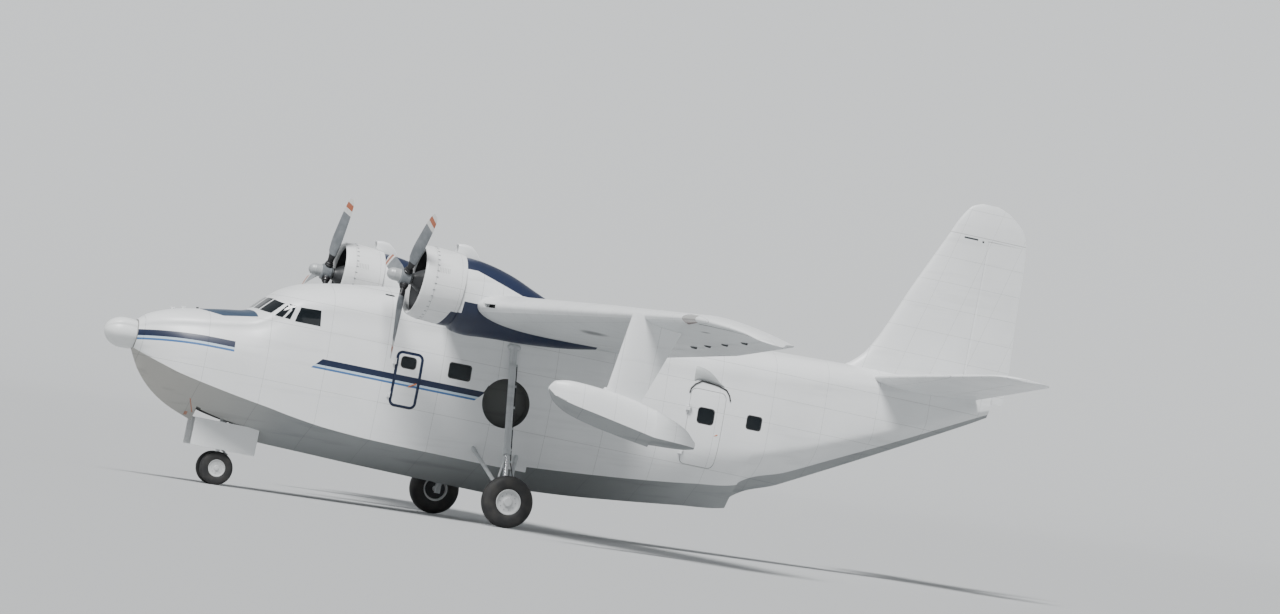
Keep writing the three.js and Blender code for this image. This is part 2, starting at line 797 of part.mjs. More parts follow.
// Prism that a windscreen pane is cut from, drawn in by a margin
const panePrism = (pane, margin) => (
  loft([WINDSCREEN_FROM + margin, WINDSCREEN_TO - margin].map((s) => [
    at(s, pane.inner + margin, pane.innerSill + margin),
    at(s, pane.outer - margin, pane.outerSill + margin),
    at(s, pane.outer - margin, pane.outerHead - margin),
    at(s, pane.inner + margin, pane.innerHead - margin),
  ]))
);
const sidePrism = (pane, margin) => {
  const middleS = pane.corners.reduce((sum, [s]) => sum + s / 4, 0);
  const middleZ = pane.corners.reduce((sum, [, z]) => sum + z / 4, 0);
  const corners = pane.corners.map(([s, z]) => {
    const reach = Math.hypot(middleS - s, middleZ - z);
    return [s + (margin * 2 * (middleS - s)) / reach, z + (margin * 2 * (middleZ - z)) / reach];
  });
  return loft([PAST_HULL, pane.inner + margin].map((y) => corners.map(([s, z]) => at(s, y, z))));
};
const paneHoles = union([
  ...PANES.map((pane) => panePrism(pane, 0)),
  ...SIDE_PANES.map((pane) => sidePrism(pane, 0)),
]);

const bowSkin = hullBody(RADOME_END + SEAT, BOW_END).subtract(hollow);
const bow = bowSkin.subtract(noseBay).subtract(paneHoles).subtract(mirrored(paneHoles));
node('hull_bow', largest(bow.subtract(wingCut)), WHITE);

const glassLayer = hullBody(RADOME_END, BOW_END, -14).subtract(hullBody(RADOME_END, BOW_END, -22));
for (const pane of PANES) {
  pair(pane.name, largest(glassLayer.intersect(panePrism(pane, 2 * SEAT))), GLASS);
}
for (const pane of SIDE_PANES) {
  pair(pane.name, largest(glassLayer.intersect(sidePrism(pane, SEAT))), GLASS);
}

const windowHoles = union(CABIN_WINDOWS.map((w) => (
  sidePanel(w, 0, WINDOW_CORNER, -PAST_HULL, PAST_HULL)
)));
const centreSkin = hullBody(BOW_END + SEAT, CENTRE_END).subtract(hollow);
const tailSkin = hullBody(CENTRE_END + SEAT, TAIL_END).subtract(hollow);

// Round wheel well, cut inboard to its depth less a margin, and its lining
const wellTube = (margin) => {
  const body = tube(
    at(WELL_S, WELL_DEPTH_Y - margin, WELL_Z),
    at(WELL_S, PAST_HULL, WELL_Z),
    WELL_RADIUS + margin,
    28,
  );
  return body.add(mirrored(body));
};
const wells = wellTube(0);
const linings = wellTube(25).intersect(hullBody(BOW_END + SEAT, CENTRE_END));
const doorHoles = union(DOORS.map((door) => (
  sidePanel(door, -RUN, DOOR_CORNER, PAST_WING, PAST_HULL)
)));

// Hinge knuckle on a door's hinge line, with an arm between two stations
function knuckle(door, low, armFrom, armTo) {
  const inner = door.hingeY - door.reach;
  const outer = door.hingeY + HINGE_RADIUS * 0.6;
  const arm = block(armFrom, armTo, inner, outer, low, low + HINGE_HEIGHT);
  const foot = at(door.hingeS, door.hingeY, low);
  const head = at(door.hingeS, door.hingeY, low + HINGE_HEIGHT);
  return tube(foot, head, HINGE_RADIUS, 10).add(arm);
}
const frameKnuckles = (door) => union([door.hingeLow, door.hingeHigh].map((low) => (
  knuckle(door, low, door.hingeS - 60, door.hingeS)
)));
const leafKnuckles = (door) => union([door.hingeLow, door.hingeHigh].map((low) => (
  knuckle(door, low + HINGE_HEIGHT + SEAT, door.from, door.from + 30)
)));
const [doorForward, doorAft] = DOORS;
const centre = centreSkin.add(linings).subtract(wingCut).subtract(windowHoles).subtract(wells);
node('hull_centre', largest(centre.subtract(doorHoles).add(frameKnuckles(doorForward))), WHITE);
const tail = tailSkin.subtract(windowHoles).subtract(doorHoles);
node('hull_tail', largest(tail.add(frameKnuckles(doorAft))), WHITE);

DOORS.forEach((door, i) => {
  const skin = door.from < CENTRE_END ? centreSkin : tailSkin;
  const leaf = skin.intersect(sidePanel(door, 0, DOOR_CORNER, PAST_WING, PAST_HULL));
  const pane = sidePanel(DOOR_WINDOWS[i], 0, WINDOW_CORNER, PAST_WING, PAST_HULL);
  node(door.name, largest(leaf.subtract(pane).add(leafKnuckles(door))), WHITE);
});

// Radome
const radomeProfile = [[0, 0]];
for (let i = 1; i <= 7; i += 1) {
  const t = i / 7;
  radomeProfile.push([RADOME_RADIUS * Math.sqrt(1 - (1 - t) ** 2), -RADOME_ROUND * t]);
}
radomeProfile.push([RADOME_RADIUS, -RADOME_END], [0, -RADOME_END]);
node('nose_radome', turnedX(radomeProfile, 28), WHITE, (mesh) => mesh.position.set(0, 0, RADOME_Z));

// Nacelles
const wingGrown = wingSpan(0, WING_JOINT, SEAT)
  .add(wingSpan(WING_JOINT - 1, WING_JOINT + 2000, SEAT));
const NACELLE_SIDES = 24;
const nacelleRing = (row) => {
  const points = [];
  for (let i = 0; i < NACELLE_SIDES; i += 1) {
    const a = (i / NACELLE_SIDES) * 2 * Math.PI;
    const power = (v) => Math.sign(v) * Math.abs(v) ** 0.92;
    const middle = (row.top + row.bottom) / 2;
    const high = (row.top - row.bottom) / 2;
    const out = row.half * power(Math.cos(a));
    points.push(at(row.s, ENGINE_Y + out, middle + high * power(Math.sin(a))));
  }
  return points;
};
const nacelle = largest(loft(NACELLE.map(nacelleRing)).subtract(wingGrown));

// Air scoop on top of each nacelle, with its mouth out over the back of the cowl
const COWL_FRONT = -190;
const COWL_BACK = -1020;
const SCOOP_LIFT = 4;
const overCowl = turnedX([
  [0, COWL_FRONT - 400],
  [COWL_OUTER + SCOOP_LIFT, COWL_FRONT - 400],
  [COWL_OUTER + SCOOP_LIFT, COWL_BACK + 120],
  [COWL_OUTER - 16 + SCOOP_LIFT, COWL_BACK - SCOOP_LIFT],
  [0, COWL_BACK - SCOOP_LIFT],
], COWL_SIDES)
  .rotate([0, THREE.MathUtils.radToDeg(-THRUST_TILT), 0])
  .translate(at(HUB_S, ENGINE_Y, HUB_Z).toArray());
const scoop = loft([
  [5825, 108, 2700, 2958],
  [5960, 124, 2660, 2972],
  [6090, 124, 2640, 2958],
  [6300, 104, 2600, 2752],
].map(([s, half, low, high]) => [
  at(s, ENGINE_Y - half, low),
  at(s, ENGINE_Y + half, low),
  at(s, ENGINE_Y + half, high - 60),
  at(s, ENGINE_Y + half - 50, high),
  at(s, ENGINE_Y - half + 50, high),
  at(s, ENGINE_Y - half, high - 60),
]));
pair('nacelle', largest(nacelle.add(scoop.subtract(overCowl))), WHITE);

// Cowl, engine and propeller are drawn about the thrust line with the propeller at x = 0.
function onThrustLine(side) {
  return (mesh) => {
    mesh.position.copy(at(HUB_S, side * ENGINE_Y, HUB_Z));
    mesh.rotation.y = -THRUST_TILT;
  };
}
const cowl = turnedX([
  [COWL_OUTER - 100, COWL_FRONT - 5],
  [COWL_OUTER - 72, COWL_FRONT - 8],
  [COWL_OUTER - 35, COWL_FRONT - 70],
  [COWL_OUTER - 8, COWL_FRONT - 200],
  [COWL_OUTER, COWL_FRONT - 360],
  [COWL_OUTER, COWL_BACK + 120],
  [COWL_OUTER - 16, COWL_BACK],
  [COWL_INNER - 10, COWL_BACK],
  [COWL_INNER, COWL_BACK + 130],
  [COWL_INNER, COWL_FRONT - 300],
  [COWL_INNER - 60, COWL_FRONT - 120],
  [COWL_OUTER - 100, COWL_FRONT - 5],
], COWL_SIDES);

const HEAD_RADIUS = 92;
const ENGINE_PLANE = -590;
const cowlFlat = COWL_INNER * Math.cos(Math.PI / COWL_SIDES);
const headTop = Math.sqrt((cowlFlat - SEAT) ** 2 - HEAD_RADIUS ** 2);
const engineParts = [turnedX([
  [0, -132],
  [110, -132],
  [130, -180],
  [215, -300],
  [290, -420],
  [330, -470],
  [330, -700],
  [260, -760],
  [260, -1010],
  [0, -1010],
], 18)];
for (let i = 0; i < CYLINDERS; i += 1) {
  const a = (2 * Math.PI * i) / CYLINDERS + Math.PI / 2;
  const out = (r) => new THREE.Vector3(ENGINE_PLANE, r * Math.cos(a), r * Math.sin(a));
  engineParts.push(tube(out(250), out(560), 76, 10));
  engineParts.push(tube(out(540), out(headTop), HEAD_RADIUS, 10));
}
const firewall = NACELLE[0].s - SEAT - HUB_S;
const thrustLine = [Math.cos(THRUST_TILT), 0, -Math.sin(THRUST_TILT)];
const engine = union(engineParts).trimByPlane(thrustLine, -firewall);

// Blade sections by radius: chord, thickness and angle from the propeller's plane.
// The propeller turns to the right, clockwise from behind, so the top blade leads to starboard.
const BLADE = table(
  ['r', 'chord', 'thick', 'angle'],
  [
    [150, 110, 106, 62],
    [330, 130, 92, 58],
    [480, 200, 44, 50],
    [800, 262, 30, 38],
    [1200, 268, 20, 28],
    [1500, 236, 13, 23],
    [1630, 168, 10, 21],
    [PROP_RADIUS, 84, 8, 20],
  ],
);
const bladeRing = (row) => {
  const points = [];
  for (let i = 0; i < 10; i += 1) {
    const a = (-2 * Math.PI * i) / 10;
    const u = (row.chord / 2) * Math.cos(a);
    const v = (row.thick / 2) * Math.sin(a);
    const turn = THREE.MathUtils.degToRad(row.angle);
    points.push(new THREE.Vector3(
      u * Math.sin(turn) + v * Math.cos(turn),
      v * Math.sin(turn) - u * Math.cos(turn),
      row.r,
    ));
  }
  return points;
};
const blade = loft(BLADE.map(bladeRing));
const hub = turnedX([
  [0, 370],
  [60, 358],
  [108, 310],
  [125, 240],
  [125, 110],
  [165, 90],
  [165, -80],
  [120, -132 + SEAT],
  [0, -132 + SEAT],
], 24);
const propellerParts = [hub];
for (let i = 0; i < BLADES; i += 1) propellerParts.push(blade.rotate([(360 * i) / BLADES, 0, 0]));
const propeller = union(propellerParts);

const SIDES = table(['name', 'side', 'phase'], [
  ['port', 1, BLADE_PHASE_PORT],
  ['starboard', -1, BLADE_PHASE_STARBOARD],
]);
for (const { name, side, phase } of SIDES) {
  node(`cowl_${name}`, cowl, WHITE, onThrustLine(side));
  node(`engine_${name}`, engine, DARK, onThrustLine(side));
  node(`propeller_${name}`, propeller.rotate([-phase, 0, 0]), STEEL, onThrustLine(side));
}

// Floats and their struts
const floatRing = (row, grow) => {
  const shoulder = row.chineZ + (row.top - row.chineZ) * 0.6;
  const half = [
    [0, row.keel - grow],
    [row.half * 0.5, (row.keel + row.chineZ) / 2 + 0.06 * (row.chineZ - row.keel) - grow],
    [row.half + grow, row.chineZ],
    [row.half * 0.97 + grow, shoulder],
    [row.half * 0.8 + grow, row.top - (row.top - shoulder) * 0.35 + grow],
    [row.half * 0.45, row.top - (row.top - shoulder) * 0.08 + grow],
    [0, row.top + grow],
  ];
  return ringOf(row.s, half).map((p) => p.setY(p.y + FLOAT_Y));
};
const float = loft(FLOAT.map((row) => floatRing(row, 0)));
const floatGrown = loft(FLOAT.map((row) => floatRing(row, SEAT)));
pair('float', float, WHITE);

const STRUT_HEAD = 1950;
const strutRing = (z, s0, s1) => foil(0.16, 0).map(([x, y]) => (
  at(s0 + x * (s1 - s0), FLOAT_Y + y * (s1 - s0), z)
));
const strut = loft([strutRing(300, 6920, 7590), strutRing(2050, 7180, 8230)]);
const outerGrown = wingSpan(WING_JOINT + SEAT, WING_TIP, SEAT);
const openStrut = strut.subtract(outerGrown).subtract(floatGrown);
pair('float_strut', largest(openStrut.trimByPlane([0, 0, -1], -STRUT_HEAD)), WHITE);

// Tail surfaces
const tailGrown = hullBody(CENTRE_END, TAIL_END, SEAT);
const tailHinge = (y) => at(ELEVATOR_S, y, linearRow(TAILPLANE, y).z);
const tailRoomAt = (point) => foilRoom(linearRow(TAILPLANE, point.y), 0, 0, -point.x, point.z);
const elevatorLine = hingeLine(tailHinge(ELEVATOR_ROOT), tailHinge(ELEVATOR_TIP), tailRoomAt);
const tailplaneHalf = wingSpan(0, 4720, 0, TAILPLANE, 0, 0);
const elevator = hinged(tailplaneHalf, elevatorLine, UP);
const tailBox = loft([-1, 2200, 3600].map((y) => {
  const row = linearRow(TAILPLANE, Math.max(y, 0));
  return foilHollow(row, 0, TAIL_WALL * 0.7, 0.5).map(([x, z]) => at(row.s + x, y, row.z + z));
}));
const tailplane = tailplaneHalf.subtract(tailBox).subtract(elevator.bay);
pair('tailplane', largest(tailplane.subtract(tailGrown)), WHITE);
pair('elevator', elevator.surface, WHITE);

const finRing = (row) => foil(row.thick, 0).map(([x, y]) => (
  at(row.s + x * row.chord, y * row.chord, row.z)
));
const finBody = loft(FIN.map(finRing));
const finRoomAt = (point) => (
  foilRoom({ ...linearRow(FIN, point.z), z: 0 }, 0, 0, -point.x, 0)
);
const rudderLine = hingeLine(
  at(RUDDER_S, 0, RUDDER_BOTTOM),
  at(RUDDER_S, 0, RUDDER_TOP),
  finRoomAt,
);
const rudder = hinged(finBody, rudderLine, new THREE.Vector3(0, 1, 0));
const finBox = loft([2149, 2700, 5000].map((z) => {
  const row = linearRow(FIN, Math.max(z, 2150));
  return foilHollow(row, 0, TAIL_WALL, 0.5).map(([x, y]) => at(row.s + x, y, z));
}));
node('fin', largest(finBody.subtract(finBox).subtract(rudder.bay).subtract(tailGrown)), WHITE);
node('rudder', rudder.surface, WHITE);

// Main landing gear
const hullGrown = hullBody(BOW_END, CENTRE_END, SEAT);
const axleInner = MAIN_Y - MAIN_WIDTH / 2 - 60;
const mainLeg = union([
  tube(at(MAIN_S, axleInner - 60, MAIN_Z + 60), at(MAIN_S - 20, 1130, 1280), 70, 14),
  tube(at(MAIN_S, axleInner - 60, MAIN_Z - 85), at(MAIN_S, axleInner - 60, MAIN_Z + 230), 85, 14),
  tube(at(MAIN_S, axleInner - 120, MAIN_Z), at(MAIN_S, MAIN_Y - 80, MAIN_Z), 48, 14),
  tube(at(MAIN_S, axleInner - 70, MAIN_Z + 150), at(7330, 1130, -760), 45, 10),
  tube(at(MAIN_S, axleInner - 70, MAIN_Z + 150), at(8380, 1130, -760), 45, 10),
]).subtract(hullGrown);
pair('main_leg', largest(mainLeg), STEEL);

const tyreProfile = (radius, width, rim) => {
  const half = width / 2;
  return [
    [rim, -half * 0.72],
    [rim + (radius - rim) * 0.45, -half],
    [rim + (radius - rim) * 0.86, -half * 0.82],
    [radius, -half * 0.36],
    [radius, half * 0.36],
    [rim + (radius - rim) * 0.86, half * 0.82],
    [rim + (radius - rim) * 0.45, half],
    [rim, half * 0.72],
    [rim, -half * 0.72],
  ];
};
// Turned tyre or wheel, rolled about its axle until one of its flats faces the ground
const rolled = (profile, sides) => (
  turnedY(profile, sides).rotate([0, THREE.MathUtils.radToDeg(PITCH) - 180 / sides, 0])
);
const tyre = (radius, width, rim, sides) => (
  rolled(tyreProfile(radius / Math.cos(Math.PI / sides), width, rim), sides)
);
const mainTyre = tyre(MAIN_RADIUS, MAIN_WIDTH, MAIN_RIM, MAIN_SIDES);
const mainHub = rolled([
  [0, -80 + SEAT],
  [90, -80 + SEAT],
  [110, -60],
  [215, -60],
  [235, -118],
  [MAIN_RIM - SEAT, -118],
  [MAIN_RIM - SEAT, 118],
  [235, 118],
  [215, 70],
  [90, 70],
  [70, 100],
  [0, 100],
], MAIN_SIDES);
for (const { name, side } of SIDES) {
  const place = (mesh) => mesh.position.copy(at(MAIN_S, side * MAIN_Y, MAIN_Z));
  node(`main_tyre_${name}`, mainTyre, RUBBER, place);
  node(`main_wheel_${name}`, side > 0 ? mainHub : mirrored(mainHub), STEEL, place);
}

// Nose landing gear
const noseLeg = union([
  tube(at(NOSE_S, 0, NOSE_BAY_TOP - SEAT), at(NOSE_S, 0, FORK_TOP + SEAT), 75, 16),
  tube(at(NOSE_S + 20, 0, -1420), at(NOSE_S + 480, 0, NOSE_BAY_TOP - SEAT), 32, 10),
]);
node('nose_leg', noseLeg.trimByPlane([0, 0, -1], SEAT - NOSE_BAY_TOP), STEEL);
const noseFork = union([
  tube(at(NOSE_S, 0, FORK_TOP), at(NOSE_S, 0, NOSE_AXLE_Z), 55, 16),
  tube(at(NOSE_S, -62, NOSE_AXLE_Z), at(NOSE_S, 62, NOSE_AXLE_Z), 60, 16),
]);
node('nose_fork', noseFork, STEEL);
const noseTyre = tyre(NOSE_RADIUS, NOSE_WIDTH, NOSE_RIM, NOSE_SIDES);
const noseWheelProfile = [
  [0, -NOSE_TYRE_Y + 62 + SEAT],
  [60, -NOSE_TYRE_Y + 62 + SEAT],
  [70, -40],
  [150, -40],
  [160, -56],
  [NOSE_RIM - SEAT, -56],
  [NOSE_RIM - SEAT, 56],
  [155, 56],
  [140, 36],
  [50, 36],
  [40, 60],
  [0, 60],
];
const noseWheel = rolled(noseWheelProfile, NOSE_SIDES);
for (const { name, side } of SIDES) {
  const place = (mesh) => mesh.position.copy(at(NOSE_S, side * NOSE_TYRE_Y, NOSE_AXLE_Z));
  node(`nose_tyre_${name}`, noseTyre, RUBBER, place);
  node(`nose_wheel_${name}`, side > 0 ? noseWheel : mirrored(noseWheel), STEEL, place);
}

// Nose gear doors hang open along both edges of the bay.
const bowGrown = hullBody(RADOME_END, BOW_END, SEAT);
const gearDoor = block(2060, 3370, 302, 322, -1830, -1300).subtract(bowGrown);
pair('nose_gear_door', largest(gearDoor), WHITE);

const root = new THREE.Group();
root.add(aircraft);
export default root;
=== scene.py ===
# %% [markdown]
# # An amphibian flying boat, parked on its wheels
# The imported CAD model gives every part's place and every joint. This notebook dresses it: each main
# surface is built again with a fine mesh from the same tables of sections, and the small things that
# a solid leaves out, such as cooling fins, rivets and wheel bolts, are added on the bodies they
# belong to.

import math

import bmesh
import bpy
import numpy as np
from mathutils import Matrix, Vector


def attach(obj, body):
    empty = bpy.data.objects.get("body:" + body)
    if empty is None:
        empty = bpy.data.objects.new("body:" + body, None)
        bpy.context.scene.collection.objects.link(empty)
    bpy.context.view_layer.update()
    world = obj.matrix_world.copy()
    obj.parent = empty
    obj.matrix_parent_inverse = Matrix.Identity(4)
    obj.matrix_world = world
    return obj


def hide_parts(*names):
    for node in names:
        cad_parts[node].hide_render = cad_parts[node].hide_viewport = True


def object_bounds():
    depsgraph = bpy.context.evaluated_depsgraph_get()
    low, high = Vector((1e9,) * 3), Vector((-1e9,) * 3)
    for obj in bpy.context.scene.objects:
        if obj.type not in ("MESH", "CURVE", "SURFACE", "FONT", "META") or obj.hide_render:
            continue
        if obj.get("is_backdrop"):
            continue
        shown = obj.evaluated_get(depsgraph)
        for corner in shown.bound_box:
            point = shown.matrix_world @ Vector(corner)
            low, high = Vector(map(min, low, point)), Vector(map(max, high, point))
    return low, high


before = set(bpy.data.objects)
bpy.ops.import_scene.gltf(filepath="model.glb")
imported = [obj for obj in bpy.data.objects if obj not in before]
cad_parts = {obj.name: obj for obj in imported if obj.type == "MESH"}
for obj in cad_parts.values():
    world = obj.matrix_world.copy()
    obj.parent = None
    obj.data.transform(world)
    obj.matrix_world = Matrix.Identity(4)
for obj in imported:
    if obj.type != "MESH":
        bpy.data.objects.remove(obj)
cad_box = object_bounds()
print("CAD box:", [[round(v, 3) for v in corner] for corner in cad_box])

# %% [markdown]
# ## The hull's own frame
# Aircraft are drawn level, with stations measured aft from the nose tip, y to port and z above the
# nose tip. Parked, the boat sits three degrees nose-up. Shapes are written in millimetres in the
# level frame and turned into the parked frame, in metres, at the moment a mesh is made. Finishes
# read the level frame too, in metres.

# %% From the drawing frame to the parked frame
PITCH = math.radians(3)
NOSE_X, NOSE_Z = 9384.0, 2666.0
COS, SIN = math.cos(PITCH), math.sin(PITCH)


def parked(points):
    """Points (station, port, height) in millimetres become parked points in metres."""
    s, y, z = np.asarray(points, float).reshape(-1, 3).T
    x = NOSE_X - s * COS - z * SIN
    up = NOSE_Z - s * SIN + z * COS
    return np.stack([x, y, up], 1) / 1000


def drawing_frame(points):
    """Parked points in metres go back to station, port and height in millimetres."""
    x, y, z = np.asarray(points, float).T * 1000
    ahead, up = NOSE_X - x, z - NOSE_Z
    return np.column_stack([ahead * COS - up * SIN, y, ahead * SIN + up * COS])


print("nose tip:", parked([(0, 0, 0)])[0].round(3))

# %% [markdown]
# ## Sections
# These tables are the boat's lines, as a loft floor would keep them: a few stations with the height
# or width of each feature line. A smooth curve through the rows, without overshoot, gives any
# station between them, so the skin can be as fine as the light needs.

# %% Tables of sections
def table(columns, rows):
    return dict(zip(columns.split(), np.array(rows, float).T))


HULL_COLUMNS = "s keel chineZ chineY waistZ waistY shoulderZ shoulderY top"
FOREBODY = table(HULL_COLUMNS, [
    (600, -250, -205, 110, 50, 285, 200, 235, 345),
    (800, -600, -290, 360, 20, 420, 290, 355, 510),
    (1140, -950, -410, 600, 0, 640, 365, 530, 655),
    (1480, -1160, -520, 800, -20, 820, 425, 655, 748),
    (1800, -1290, -590, 905, -50, 930, 470, 745, 805),
    (2260, -1430, -680, 1010, -50, 1030, 540, 820, 885),
    (2720, -1500, -760, 1070, -80, 1100, 640, 870, 965),
    (3040, -1525, -810, 1100, -100, 1130, 800, 930, 1245),
    (3300, -1540, -850, 1125, -100, 1155, 960, 985, 1480),
    (3690, -1555, -920, 1160, -100, 1180, 1090, 1020, 1670),
    (4480, -1575, -1020, 1210, -100, 1225, 1200, 1050, 1840),
    (5370, -1600, -1070, 1220, -100, 1245, 1260, 1070, 1965),
    (6500, -1620, -1090, 1220, -100, 1250, 1330, 1085, 2090),
    (7800, -1640, -1100, 1220, -100, 1250, 1380, 1090, 2160),
    (8600, -1650, -1100, 1220, -100, 1250, 1400, 1090, 2180),
])
AFTERBODY = table(HULL_COLUMNS, [
    (8602, -1470, -990, 1190, -100, 1250, 1400, 1090, 2180),
    (9800, -1390, -900, 1130, -60, 1235, 1420, 1070, 2205),
    (11000, -1270, -790, 1010, 0, 1190, 1450, 1020, 2230),
    (12200, -1130, -650, 780, 120, 1100, 1500, 950, 2260),
    (13200, -1000, -500, 480, 260, 980, 1560, 860, 2290),
    (13202, -820, -470, 460, 260, 980, 1560, 860, 2290),
    (14200, -330, -60, 360, 520, 830, 1650, 740, 2320),
    (15140, 150, 380, 300, 850, 680, 1740, 610, 2350),
    (16200, 700, 880, 230, 1250, 500, 1860, 450, 2375),
    (17200, 1230, 1370, 160, 1640, 320, 1980, 290, 2395),
    (18000, 1660, 1760, 80, 1930, 170, 2110, 155, 2410),
    (18350, 1860, 1925, 40, 2030, 95, 2170, 85, 2405),
])
WING = table("y s z chord thick", [
    (0, 6250, 1860, 3900, 0.17), (3900, 6270, 1860, 3850, 0.17), (8400, 6970, 1975, 3150, 0.155),
    (12900, 7670, 2077, 1975, 0.1325), (13200, 7740, 2065, 1810, 0.13),
    (13800, 7960, 2020, 1370, 0.125), (14300, 8230, 1950, 800, 0.12),
    (14600, 8440, 1865, 440, 0.11), (14730, 8640, 1835, 140, 0.1),
])
TAILPLANE = table("y s z chord thick", [
    (0, 15560, 2150, 2440, 0.12), (2200, 16100, 2342, 1840, 0.12), (4300, 16640, 2526, 1240, 0.11),
    (4560, 16760, 2549, 1060, 0.1), (4690, 16940, 2560, 760, 0.09), (4720, 17080, 2562, 500, 0.08),
])
FIN = table("z s chord thick", [
    (2150, 14750, 3880, 0.095), (2350, 15140, 3500, 0.105), (2700, 15520, 3130, 0.115),
    (4200, 16230, 2330, 0.115), (5400, 16800, 1690, 0.11), (5700, 16940, 1450, 0.107),
    (5900, 17065, 1120, 0.103), (6040, 17190, 775, 0.1), (6120, 17390, 350, 0.09),
])
NACELLE = table("s bottom top half", [
    (5860, 1440, 2720, 640), (5905, 1418, 2722, 646), (5950, 1318, 2726, 657),
    (6080, 1268, 2735, 668), (6300, 1250, 2718, 668), (6600, 1272, 2668, 654),
    (7000, 1294, 2560, 610), (7500, 1310, 2360, 540), (8000, 1350, 2160, 440),
    (8500, 1410, 1960, 320), (8950, 1490, 1780, 170),
])
FLOAT = table("s keel chineZ top half", [
    (5890, 350, 385, 420, 25), (5990, 195, 290, 545, 120), (6300, 10, 190, 600, 245),
    (6800, -120, 95, 575, 305), (7400, -225, -15, 500, 315), (7930, -300, -110, 385, 285),
    (7932, -262, -112, 392, 285), (8560, -228, -135, 155, 150), (8806, -180, -150, -60, 40),
])


def smooth_row(rows, value):
    """Row at any value of the first column, on a curve without overshoot."""
    key = next(iter(rows))
    x = rows[key]
    i = int(np.clip(np.searchsorted(x, value, "right") - 1, 0, len(x) - 2))
    span = x[i + 1] - x[i]
    t = (value - x[i]) / span
    row = {key: value}
    for name, v in rows.items():
        if name == key:
            continue
        slope = np.diff(v) / np.diff(x)

        def tangent(k):
            if k == 0 or k == len(x) - 1:
                return slope[min(k, len(slope) - 1)]
            a, b = slope[k - 1], slope[k]
            return 0.0 if a * b <= 0 else 2 * a * b / (a + b)

        p, q = v[i], v[i + 1]
        m, n = tangent(i) * span, tangent(i + 1) * span
        row[name] = p + m * t + (3 * (q - p) - 2 * m - n) * t ** 2 + (2 * (p - q) + m + n) * t ** 3
    return row


def straight_row(rows, value):
    """Row at any value of the first column, on straight lines between rows."""
    key = next(iter(rows))
    return {name: float(np.interp(value, rows[key], v)) for name, v in rows.items()}


def stops(start, end, step, extra=()):
    """Evenly spaced values from start to end, with the extra ones that lie between them."""
    even = np.linspace(start, end, max(2, round(abs(end - start) / step) + 1))
    inside = [v for v in extra if start + 1 < v < end - 1]
    kept = [v for v in even if all(abs(v - w) > step * 0.2 for w in inside)]
    return sorted(set(kept + inside) | {start, end})


print("hull height at station 6500:", round(smooth_row(FOREBODY, 6500.0)["top"]))

# %% [markdown]
# ## Meshes, cuts and mirror images
# A few helpers do most of the modelling. A loft joins rings of points into a closed skin, and a
# turned body is a loft through circles. A cut is a Boolean modifier whose result is kept as a plain
# mesh. A mirror image turns its faces back out after the flip. Shading is smooth except across real
# edges.

# %% Mesh helpers
def linked(name, data):
    obj = bpy.data.objects.new(name, data)
    bpy.context.scene.collection.objects.link(obj)
    return obj


def turn_outwards(mesh, merge=False):
    tidy = bmesh.new()
    tidy.from_mesh(mesh)
    if merge:
        bmesh.ops.remove_doubles(tidy, verts=tidy.verts, dist=1e-6)
    bmesh.ops.recalc_face_normals(tidy, faces=tidy.faces)
    tidy.to_mesh(mesh)
    tidy.free()


def local_mesh(name, points, faces, merge=False):
    """A closed mesh in metres about its own origin, with its faces turned outwards."""
    mesh = bpy.data.meshes.new(name)
    mesh.from_pydata([tuple(p) for p in points], [], faces)
    turn_outwards(mesh, merge)
    return linked(name, mesh)


def new_object(name, points, faces):
    """A closed mesh from drawing-frame points."""
    return local_mesh(name, parked(points).tolist(), faces, merge=True)


def loft_faces(count_rings, count_points, ends="capped"):
    """Faces between rings of points whose ends are capped, open, or closed round to the first."""
    index = np.arange(count_rings * count_points).reshape(count_rings, count_points)
    walk = np.vstack([index, index[:1]]) if ends == "closed" else index
    after = np.roll(walk, -1, 1)
    quads = np.stack([walk[:-1], after[:-1], after[1:], walk[1:]], -1).reshape(-1, 4).tolist()
    return quads + ([index[0].tolist()[::-1], index[-1].tolist()] if ends == "capped" else [])


def loft(name, rings):
    rings = np.asarray(rings, float)
    return new_object(name, rings.reshape(-1, 3), loft_faces(*rings.shape[:2]))


def circle(sides):
    return np.linspace(0, 2 * np.pi, sides, endpoint=False)


def lathe_points(profile, sides):
    """Rings about the X axis, one after another, from (distance along it, radius) pairs."""
    a = circle(sides)
    return np.vstack([np.column_stack([np.full(sides, x), r * np.cos(a), r * np.sin(a)]) for x, r in profile])


def tube(name, start, end, radius, sides=24, end_radius=None):
    """Round bar between two drawing-frame points."""
    a, b = np.array(start, float), np.array(end, float)
    axis = (b - a) / np.linalg.norm(b - a)
    side = np.cross(axis, (0, 0, 1) if abs(axis[2]) < 0.9 else (1, 0, 0))
    side /= np.linalg.norm(side)
    turn = circle(sides)[:, None]
    rim = np.cos(turn) * side + np.sin(turn) * np.cross(axis, side)
    last = radius if end_radius is None else end_radius
    return loft(name, [a + rim * radius, b + rim * last])


def box_shape(x, y, z):
    corners = [(x[i], y[j], z[k]) for i in (0, 1) for j in (0, 1) for k in (0, 1)]
    return corners, [(0, 1, 3, 2), (4, 6, 7, 5), (0, 4, 5, 1), (2, 3, 7, 6), (0, 2, 6, 4), (1, 5, 7, 3)]


def block(name, s, y, z):
    """Box between pairs of stations, distances to port and heights."""
    return new_object(name, *box_shape(s, y, z))


def local_box(name, x, y, z):
    return local_mesh(name, *box_shape(x, y, z))


